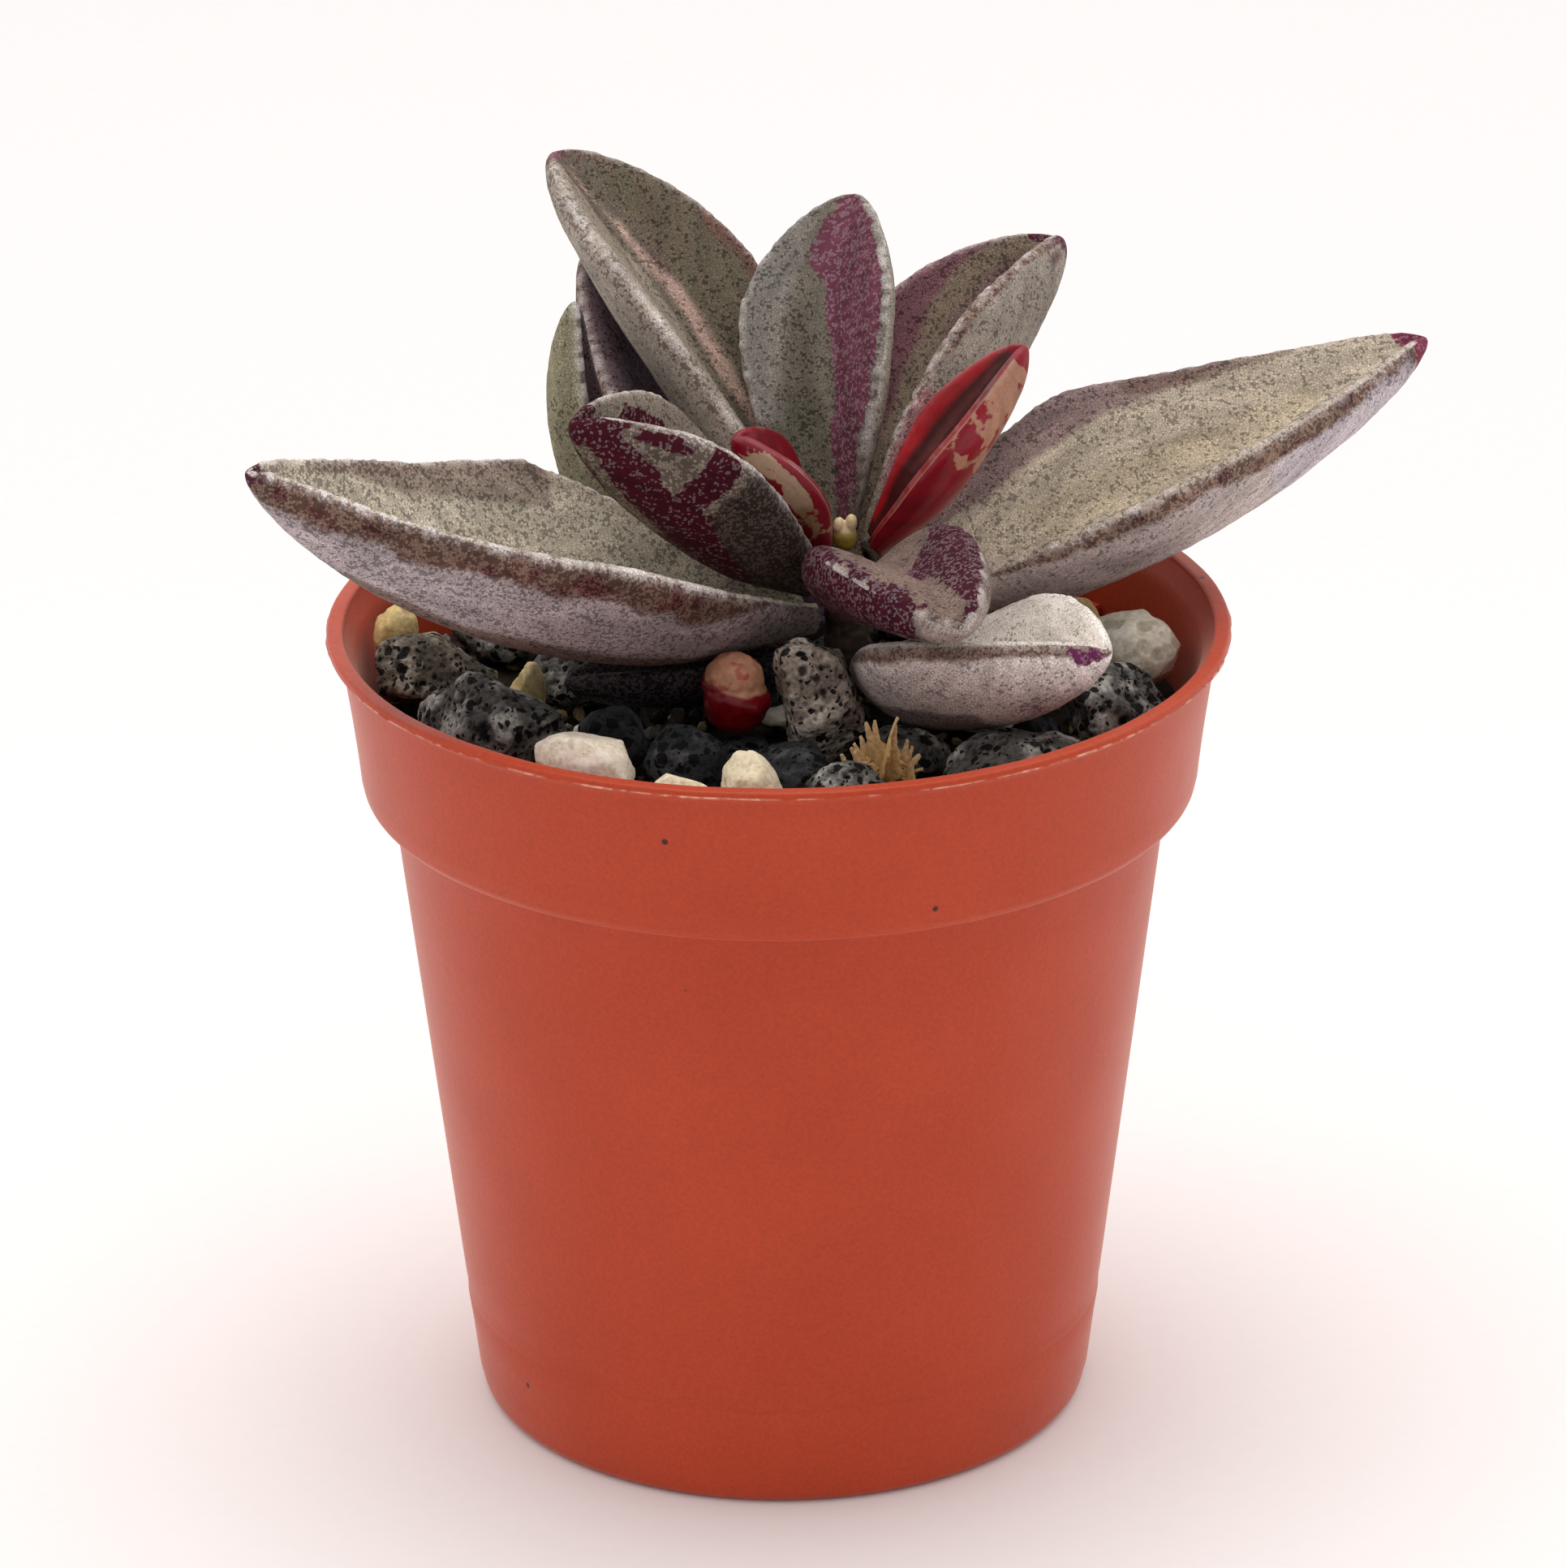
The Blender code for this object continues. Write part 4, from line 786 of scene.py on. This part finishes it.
def makeLeaf(name, given, number):
    leaf = {**leafBase, **given}
    look = leafSkins[leaf["skin"]]
    length = leaf["length"]
    count = int(length / look["pace"])
    sides = 2 * int((leaf["half"] * 2.1 + leaf["thick"]) / (look["pace"] * 1.4))
    steps = np.arange(count) / count
    shares = 0.5 * steps + 0.5 * np.sin(np.pi / 2 * steps)
    turns = 2 * np.pi * np.arange(sides) / sides
    share, sideways = np.meshgrid(shares, np.cos(turns), indexing="ij")
    inside = np.broadcast_to(np.sin(turns) > -1e-9, share.shape)

    def onBlade(stretch, across, page):  # where noise is read; page keeps the leaves apart
        return np.stack([share * length * stretch, across, page + 0 * share], -1)

    margins = roughNoise(onBlade(1, np.sign(sideways) * 5, number * 31), 3.2, 11)
    wave = 1 + 0.02 * margins * smoothStep(share, 0.05, 0.3)
    over, up = leafSection(share, sideways, inside, leaf, leafWidth(share, leaf) * wave)
    along, across = leafAxes(shares, leaf)
    rise = np.cross(along, across)
    roll = np.radians(leaf["roll"] + leaf["twist"] * (shares - 0.3))[:, None]
    rolled = across * np.cos(roll) + rise * np.sin(roll)
    raised = rise * np.cos(roll) - across * np.sin(roll)
    middle = leafMidrib(shares, leaf)
    rings = middle[:, None] + rolled[:, None] * over[..., None] + raised[:, None] * up[..., None]

    # lengths of the section from its left margin, over the inside and over the outside
    hops = np.linalg.norm(np.roll(rings, -1, 1) - rings, axis=-1)
    walked = np.cumsum(hops, 1) - hops
    half = sides // 2
    insideArc = walked[:, half][:, None]
    outsideArc = hops.sum(1)[:, None] - insideArc
    travelled = np.where(inside, walked, hops.sum(1)[:, None] - walked)
    arc = np.where(inside, insideArc, outsideArc) + 1e-6
    sweep = travelled / arc
    right = arc - travelled
    margin = np.minimum(travelled, right)
    sided = np.where(inside, travelled, -travelled)

    outward = np.cross(np.roll(rings, -1, 1) - np.roll(rings, 1, 1), np.gradient(rings, axis=0))
    outward /= np.linalg.norm(outward, axis=-1, keepdims=True) + 1e-12
    centre = rings.mean(1, keepdims=True)
    facing = np.sign(((rings - centre) * outward).sum(-1, keepdims=True).mean(1, keepdims=True))
    outward = outward * facing
    fade = smoothStep(share, 0.0, 0.08) * (1 - smoothStep(share, 0.97, 1.0))
    lumps = leaf["lump"] * roughNoise(rings, leaf["lumpSize"], number)
    crust = leaf["crust"] * roughNoise(rings, leaf["crustSize"], number + 50, 2)
    ridge = leaf["ridge"] * np.exp(-(margin / leaf["ridgeWide"]) ** 2)
    # beads of scurf along the margins, 0.4 mm apart and drawn out across the edge
    bead = softNoise(onBlade(1, travelled * 0.3, number * 9), leaf["beadSize"], number + 70)
    bead = smoothStep(bead, -0.25, 0.45)
    atEdge = np.exp(-(margin / leaf["beadWide"]) ** 2)
    # cross wrinkles on the right half of the inside
    wrinkles = leaf["wrinkle"] * leaf["wrinkleDeep"] * np.sin(
        share * length * 2 * np.pi / leaf["wrinkleGap"] + 2.2 * softNoise(rings, 2.5, 4))
    wrinkles = wrinkles * np.where(inside, smoothStep(sweep, 0.45, 0.6), 0)
    beads = (leaf["bead"] * leaf["rim"] * bead * atEdge + crust) * look["relief"]
    relief = (lumps + ridge + beads + wrinkles) * fade

    # colours: inside and outside skin, a brown band under the margins with dark red blotches, and painted
    # shade on the outside near the foot
    inner, outer, band, foot, markTint, blotchTint, edgeTint = [linear(leaf[key]) for key in (
        "inner", "outer", "band", "foot", "mark", "blotchTint", "edgeTint")]
    flowing = onBlade(0.35, sided, number * 17)
    wandering = roughNoise(flowing, 1.5, number + 90, 4)
    patchy = roughNoise(rings, 2.6, number + 20)
    skin = np.where(inside[..., None], inner, outer) * (1 + 0.14 * patchy)[..., None]
    inBand = 0
    for key, away in (("bandLeft", travelled), ("bandRight", right)):
        wide = leaf[key] * (1 + 0.6 * patchy) * smoothStep(share, 0.08, 0.3)
        inBand = np.maximum(inBand, (1 - smoothStep(away, wide * 0.6, wide + 0.05)) * (wide > 0.1))
    inBand = inBand * np.where(inside, 0.3, 0.9)
    skin = blendColours(skin, band, inBand)
    spots = smoothStep(roughNoise(rings, 1.0, number + 41, 2), 0.12, 0.4)
    skin = blendColours(skin, blotchTint, spots * inBand * leaf["blotch"])
    # painted shade: the outside is darkened towards the foot colour near the leaf's foot, round the stem
    skin = blendColours(skin, foot, 0.6 * (1 - smoothStep(share, 0.0, 0.22)) * ~inside)
    stripe = roughNoise(onBlade(0.08, travelled * 1.6, 0), 1.0, number + 33)
    stripe = smoothStep(stripe, 0.1, 0.5) * leaf["stripes"]
    skin = blendColours(skin, markTint, stripe * inside * 0.7)
    for face, colour, strength, *rows in leaf["blushes"]:
        depth = patchDepth(rows, share, sweep, leaf, arc) + 0.45 * wandering
        part = smoothStep(depth, -0.25, 0.35) * strength * (inside == (face == "in"))
        skin = blendColours(skin, linear(colour), part)

    # marks, with edges that wander along the leaf
    far = -9.0  # mm outside of any mark
    edge = np.full(share.shape, far)
    for face, *rows in leaf["marks"]:
        depth = patchDepth(rows, share, sweep, leaf, arc)
        if face == "clear":  # a part of the outside that the mark leaves free
            edge = np.where(inside, edge, np.minimum(edge, -depth))
        else:
            edge = np.maximum(edge, np.where(inside == (face == "in"), depth, far))
    tip = leaf["tipMark"] - (1 - share) * length
    edge = np.maximum(edge, tip if leaf["tipMark"] > 0 else far) + leaf["ragged"] * 1.6 * wandering
    islands = roughNoise(flowing * [1.6, 1, 1], 1.1, number + 60, 3) - leaf["marble"]
    edge = np.maximum(edge, np.where(inside, far, 1.6 * islands))
    pale = atEdge * (0.25 + 0.75 * bead) * smoothStep(share, 0.05, 0.25) * look["pale"] * leaf["rim"]
    cover = np.where(inside, leaf["inCover"], leaf["outCover"]) + 0.12 * patchy
    cover = cover - 0.25 * inBand + 0.4 * pale
    fleck = np.where(inside, leaf["inFleck"], leaf["outFleck"]) * (0.9 + 0.6 * patchy) + 0.25 * inBand
    fleck = np.clip(fleck, 0, 1) * look["fleck"] * (1 - pale)
    skin = blendColours(skin, edgeTint, pale)
    edge = edge - 1.2 * pale

    points = rings + outward * relief[..., None]
    mesh = gridMesh(name, points, points[0].mean(0), leafMidrib(np.array([1.0]), leaf)[0])
    mark = np.broadcast_to(markTint, skin.shape)
    flow = onBlade(1, sided, number * 13.7)
    for key, values in dict(skin=skin, mark=mark, markEdge=edge, cover=cover, fleck=fleck,
                            flow=flow).items():
        poles = [values[i].mean(0) for i in (0, -1)]  # the closing points take their ring's mean
        addValues(mesh, key, np.concatenate([values.reshape(-1, *values.shape[2:]), poles]))
    finishPiece(camelName(name), mesh, look["material"], [name])


for number, (leafName, leafGiven) in enumerate(leafLook.items()):
    makeLeaf(leafName, leafGiven, number + 1)
print("leaves made:", len(leafLook))


# Stem, growing tip and offset bud.
# The eye sees corky brown bark, an olive stub with two cream knobs, and a waxy bud that is
# cream on top and dark red below.
stemLook = dict(bark="#4A382E", dark="#261B16", grain=0.14)
tipLook = dict(stub="#9A8433", knob="#E3D2A4", knobZ=56.4, grain=0.07)
budLook = dict(cream="#B98468", red="#6C0510", fleck="#A4373A", splitZ=50.15, grain=0.11)


def makeStem():
    look = stemLook
    fine = fineCopy("stem", look["grain"], 3)
    cork = roughNoise(fine[1] * [1, 1, 2.2], 0.8, 3)
    tint = blendColours(linear(look["dark"]), linear(look["bark"]), smoothStep(cork, -0.5, 0.5))
    finishFine("woodyStem", fine, 0.06 * cork, tint,
               plainSkin("lenophyllum bark, corky", 0.85, 0.7, 1.3, 3000, 0.6), "stem")


def makeTip():
    look = tipLook
    fine = fineCopy("growing_tip", look["grain"], 4)
    points = fine[1]
    tint = blendColours(linear(look["stub"]), linear(look["knob"]),
                        smoothStep(points[:, 2], look["knobZ"] - 0.2, look["knobZ"] + 0.5))
    finishFine("growingTip", fine, 0.03 * roughNoise(points, 0.4, 9), tint,
               plainSkin("young shoot tip, waxy", 0.4, 0.85, 1.15, 2500, 0.2,
                         {"Subsurface Weight": 0.1, "Subsurface Scale": 0.001}),
               "growing_tip")


def makeBud():
    look = budLook
    fine = fineCopy("offset_bud", look["grain"], 6)
    points = fine[1]
    # the cream scales overlap the red ones along a tilted, wandering seam
    edge = points[:, 2] - look["splitZ"] + 0.2 * (points[:, 0] + 2.6)
    edge = edge + 0.5 * roughNoise(points, 1.4, 2)
    seam = np.exp(-(edge / 0.3) ** 2)
    shift = 0.04 * roughNoise(points, 1.6, 5) + 0.2 * np.exp(-((edge + 0.6) / 0.7) ** 2) - 0.06 * seam
    tint = blendColours(linear(look["red"]), linear(look["cream"]), smoothStep(edge, -0.08, 0.12))
    flecks = smoothStep(roughNoise(points, 0.7, 8), 0.28, 0.42) * (edge > 0)
    tint = blendColours(tint, linear(look["fleck"]), flecks * 0.7)
    finishFine("offsetBud", fine, shift - 0.06, tint,
               plainSkin("succulent bud skin, waxy", 0.36, 0.82, 1.15, 2600, 0.25,
                         {"Subsurface Weight": 0.08, "Subsurface Scale": 0.0015, "Coat Weight": 0.12,
                          "Coat Roughness": 0.2, "Specular IOR Level": 0.3}),
               "offset_bud")


makeStem()
makeTip()
makeBud()
print("stem, tip and bud made")


# Dry husk: withered flower scales, straw-dry, curled and split along their fibres.
huskLook = dict(straw="#D9AE70", dark="#7A4A24", pale="#F2E6C8", blades=16, steps=26, sides=10,
                wide=3.4, thin=0.3, tall=6.6, middleX=5.9, middleY=-15.6, fan=58, curl=34,
                spread=(0.2, 0.3, 0.3))


def makeHusk():
    look = huskLook
    low, high = [np.array(corner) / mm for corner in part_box("dry_husk")]
    draw = random.Random(11)
    points, faces, tints = [], [], []
    straw, dark, pale = [linear(look[key]) for key in ("straw", "dark", "pale")]
    # each scale is a curled tube flattened across its front, broad in the middle and torn at the tip
    for number in range(look["blades"]):
        lean = math.radians(look["fan"] * (2 * (number + 0.5) / look["blades"] - 1) + draw.uniform(-6, 6))
        back = math.radians(draw.uniform(-24, 24))
        bend = math.radians(look["curl"] * draw.uniform(-1, 1))
        tall = look["tall"] * (1 - 0.4 * abs(math.sin(lean))) * draw.uniform(0.72, 1.08)
        turn = draw.uniform(0, math.pi)
        foot = np.array([look["middleX"] + 1.5 * math.sin(lean), look["middleY"] + 1.2 * math.sin(back),
                         low[2] + 0.2])
        start = len(points)
        for step in range(look["steps"]):
            share = step / (look["steps"] - 1)
            tilt = lean + bend * share ** 1.5
            sinTilt, cosTilt = math.sin(tilt), math.cos(tilt)
            ahead = np.array([sinTilt, math.sin(back) * cosTilt, cosTilt])
            foot = foot + ahead * tall / look["steps"]
            belly = 0.35 + 0.65 * math.sin(math.pi * min(1, share * 1.25 + 0.1)) ** 0.7
            width = look["wide"] * belly * (1 - 0.75 * share ** 3) * 0.5
            spin = turn + 1.1 * share
            side = np.array([math.cos(spin) * cosTilt, math.sin(spin), -math.cos(spin) * sinTilt])
            front = np.cross(side, [sinTilt, 0, cosTilt])
            for corner in range(look["sides"]):
                around = 2 * math.pi * corner / look["sides"]
                ragged = 1 + 0.22 * draw.uniform(-1, 1)
                across = width * math.cos(around) * ragged
                points.append(foot + side * across + front * (look["thin"] * 0.5 * math.sin(around)
                                                              + 0.5 * across ** 2))
                tints.append(dark + (straw - dark) * min(1, 0.25 + share * 2.6 * draw.uniform(0.6, 1.1))
                             + (pale - straw) * 0.6 * max(0, share - 0.4) * draw.uniform(0.4, 1.4))
        index = np.arange(start, len(points)).reshape(look["steps"], look["sides"])
        faces += ringFaces(index) + [index[0][::-1].tolist(), index[-1].tolist()]
    points = np.array(points)
    least, most = points.min(0), points.max(0)
    points = low + (points - least) / (most - least) * (high - low + look["spread"])
    mesh = bpy.data.meshes.new("husk")
    mesh.from_pydata((points * mm).tolist(), [], faces)
    addValues(mesh, "tint", np.clip(tints, 0, 1))
    finishPiece("dryHusk", mesh, plainSkin("dried flower scales, straw", 0.85, 0.7, 1.25, 3500, 0.5),
                ["dry_husk"])


makeHusk()
print("husk made")


# Gravel: lava broken by crushing, dark rock chips and chalky pumice.
# Lava shows pale grey ridges round black pores of two sizes; dark rock is dull and faceted; pale
# stones are chalky with soft worn corners.
# pore is the colour of the painted shade inside the pores
gravelLook = {
    "lava": dict(ridge="#A19E98", body="#504E4B", pore="#08080A", poreSize=1.5, poreDeep=0.45,
                 rough=0.16, slot="lava_gravel", grain=0.17),
    "brown_lava": dict(ridge="#948B7D", body="#564E44", pore="#0E0B09", poreSize=1.1, poreDeep=0.35,
                       rough=0.14, slot="lava_gravel", grain=0.17),
    "grey_lava": dict(ridge="#C6BCB0", body="#877B70", pore="#120E0C", poreSize=0.95, poreDeep=0.34,
                      rough=0.14, slot="lava_gravel", grain=0.13),
    "dark": dict(ridge="#4A4A4C", body="#242528", pore="#060606", poreSize=1.8, poreDeep=0.12,
                 rough=0.14, slot="dark_gravel", grain=0.2),
    "white": dict(ridge="#FFF6E6", body="#FAEDD8", pore="#A89880", poreSize=2.2, poreDeep=0.06,
                  rough=0.07, slot="pale_gravel", grain=0.18),
    "cream": dict(ridge="#FFF2D6", body="#F4E6C6", pore="#A58A58", poreSize=1.6, poreDeep=0.1,
                  rough=0.09, slot="pale_gravel", grain=0.18),
    "yellow": dict(ridge="#EAD7A6", body="#D8BF84", pore="#94774A", poreSize=1.3, poreDeep=0.12,
                   rough=0.1, slot="pale_gravel", grain=0.18),
    "pale": dict(ridge="#FFFCEC", body="#F8F3DE", pore="#7D765C", poreSize=1.6, poreDeep=0.12,
                 rough=0.12, slot="pale_gravel", grain=0.18),
}
stoneKinds = dict(lava_big="lava", lava_left="brown_lava", lava_centre="grey_lava",
                  lava_front_right="lava", lava_right="lava", rock_left="dark", rock_middle="dark",
                  rock_under_bud="dark", white_front="white", cream_front="cream",
                  cream_rim="cream", yellow_left="yellow", yellow_right="yellow",
                  pale_right="pale", grit_yellow="yellow")
fillKinds = ("lava", "dark", "brown_lava", "cream", "lava", "dark", "pale")


# Two mineral skins. low and high bound the tone, pit and lip are the strength of the painted shade
# in a pore's inside and of its paler lip, deep is the colour of that painted shade.
stoneSkins = dict(
    dark=dict(name="scoria and basalt, crushed", low=0.55, high=1.5, pit=1.0, lip=0.45,
              deep=(0.05, 0.05, 0.05), bump=0.8),
    pale=dict(name="pumice and limestone chips, chalky", low=0.82, high=1.08, pit=0.3, lip=0.04,
              deep=(0.6, 0.52, 0.42), bump=0.35))


def stoneMaterial(look):
    material, fill, node = newMaterial(look["name"], {"Roughness": 0.92, "IOR": 1.5,
                                                      "Specular IOR Level": 0.25})
    place = node("TexCoord", output="Object")
    tint = node("Attribute", output="Color", attribute_name="tint")
    # mineral grain, 0.3 mm
    grain = node("TexNoise", {"Vector": place, "Scale": 3300, "Detail": 4})
    tone = node("MapRange", {0: grain, 1: 0.32, 2: 0.68, 3: look["low"], 4: look["high"]})
    colour = node("VectorMath", {0: tint, "Scale": tone}, operation="SCALE")
    # gas pores of two sizes, 1 and 0.5 mm apart, painted dark inside as painted shade, with a paler lip;
    # the places are bent by 0.25 mm so that the pores aren't round
    bent = node("TexNoise", {"Vector": place, "Scale": 1100, "Detail": 2}, "Color")
    bent = node("VectorMath", {0: bent, "Scale": 0.0009}, operation="SCALE")
    bent = node("VectorMath", {0: place, 1: bent})
    height = grain
    for scale, narrow, wide in ((950, 0.1, 0.48), (2100, 0.14, 0.44)):
        away, draw = node("TexVoronoi", {"Vector": bent, "Scale": scale}, ("Distance", "Color"))
        draw = node("SeparateColor", {0: draw})
        reach = node("MapRange", {0: draw, 3: narrow, 4: wide})
        depth = node("Math", {0: reach, 1: away}, operation="SUBTRACT")
        hole = node("MapRange", {0: depth, 2: 0.05, 4: look["pit"]})
        lip = node("MapRange", {0: depth, 1: -0.16, 4: look["lip"]})
        bright = node("VectorMath", {0: colour, "Scale": 1.9}, operation="SCALE")
        colour = node("Mix", {0: lip, 6: colour, 7: bright}, 2, data_type="RGBA")
        # painted shade: deep darkens the pore's inside
        dark = node("VectorMath", {0: colour, 1: look["deep"]}, operation="MULTIPLY")
        colour = node("Mix", {0: hole, 6: colour, 7: dark}, 2, data_type="RGBA")
        height = node("Math", {0: height, 1: hole}, operation="SUBTRACT")
    fill({"Base Color": colour,
          "Normal": node("Bump", {"Strength": look["bump"], "Distance": 0.00015, "Height": height})})
    return material


for stoneSkin in stoneSkins.values():
    stoneSkin["material"] = stoneMaterial(stoneSkin)


def makeStone(stone, kind, seed):
    look = gravelLook[kind]
    fine = fineCopy(stone, look["grain"])
    points = fine[1]
    size = look["poreSize"]
    away, draw = cellNoise(points, size, seed)
    pit = smoothStep(size * (0.18 + 0.24 * draw) - away, -0.04, 0.14)
    fineAway, fineDraw = cellNoise(points, size * 0.45, seed + 5)
    finePit = smoothStep(size * (0.06 + 0.13 * fineDraw) - fineAway, -0.03, 0.06)
    uneven = roughNoise(points, 1.5, seed + 9)
    depth = look["poreDeep"] * (pit * (0.6 + 0.4 * draw) + 0.35 * finePit * (1 - pit))
    shift = look["rough"] * uneven - depth
    if look["slot"] == "lava_gravel":
        shift = shift + 0.12
    ridge, body, pore = [linear(look[key]) for key in ("ridge", "body", "pore")]
    tint = blendColours(body, ridge, smoothStep(uneven, -0.1, 0.5))
    # painted shade: the pores' insides are tinted towards the pore colour
    poreShade = np.clip(pit + 0.7 * finePit, 0, 1) * min(1, look["poreDeep"] / 0.3)
    tint = blendColours(tint, pore, poreShade * 0.9)
    skin = stoneSkins["pale" if look["slot"] == "pale_gravel" else "dark"]
    finishFine(camelName(stone), fine, shift, tint, skin["material"], stone)


fillStones = sorted(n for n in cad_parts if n.startswith("stone_"))
for place, stone in enumerate(fillStones):
    stoneKinds[stone] = fillKinds[place % len(fillKinds)]
for seed, (stone, kind) in enumerate(stoneKinds.items()):
    makeStone(stone, kind, seed * 7 + 3)
print("gravel made:", len(stoneKinds))

total = sum(len(o.data.loop_triangles) or sum(len(p.vertices) - 2 for p in o.data.polygons)
            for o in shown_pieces())
print("triangles in all:", total)
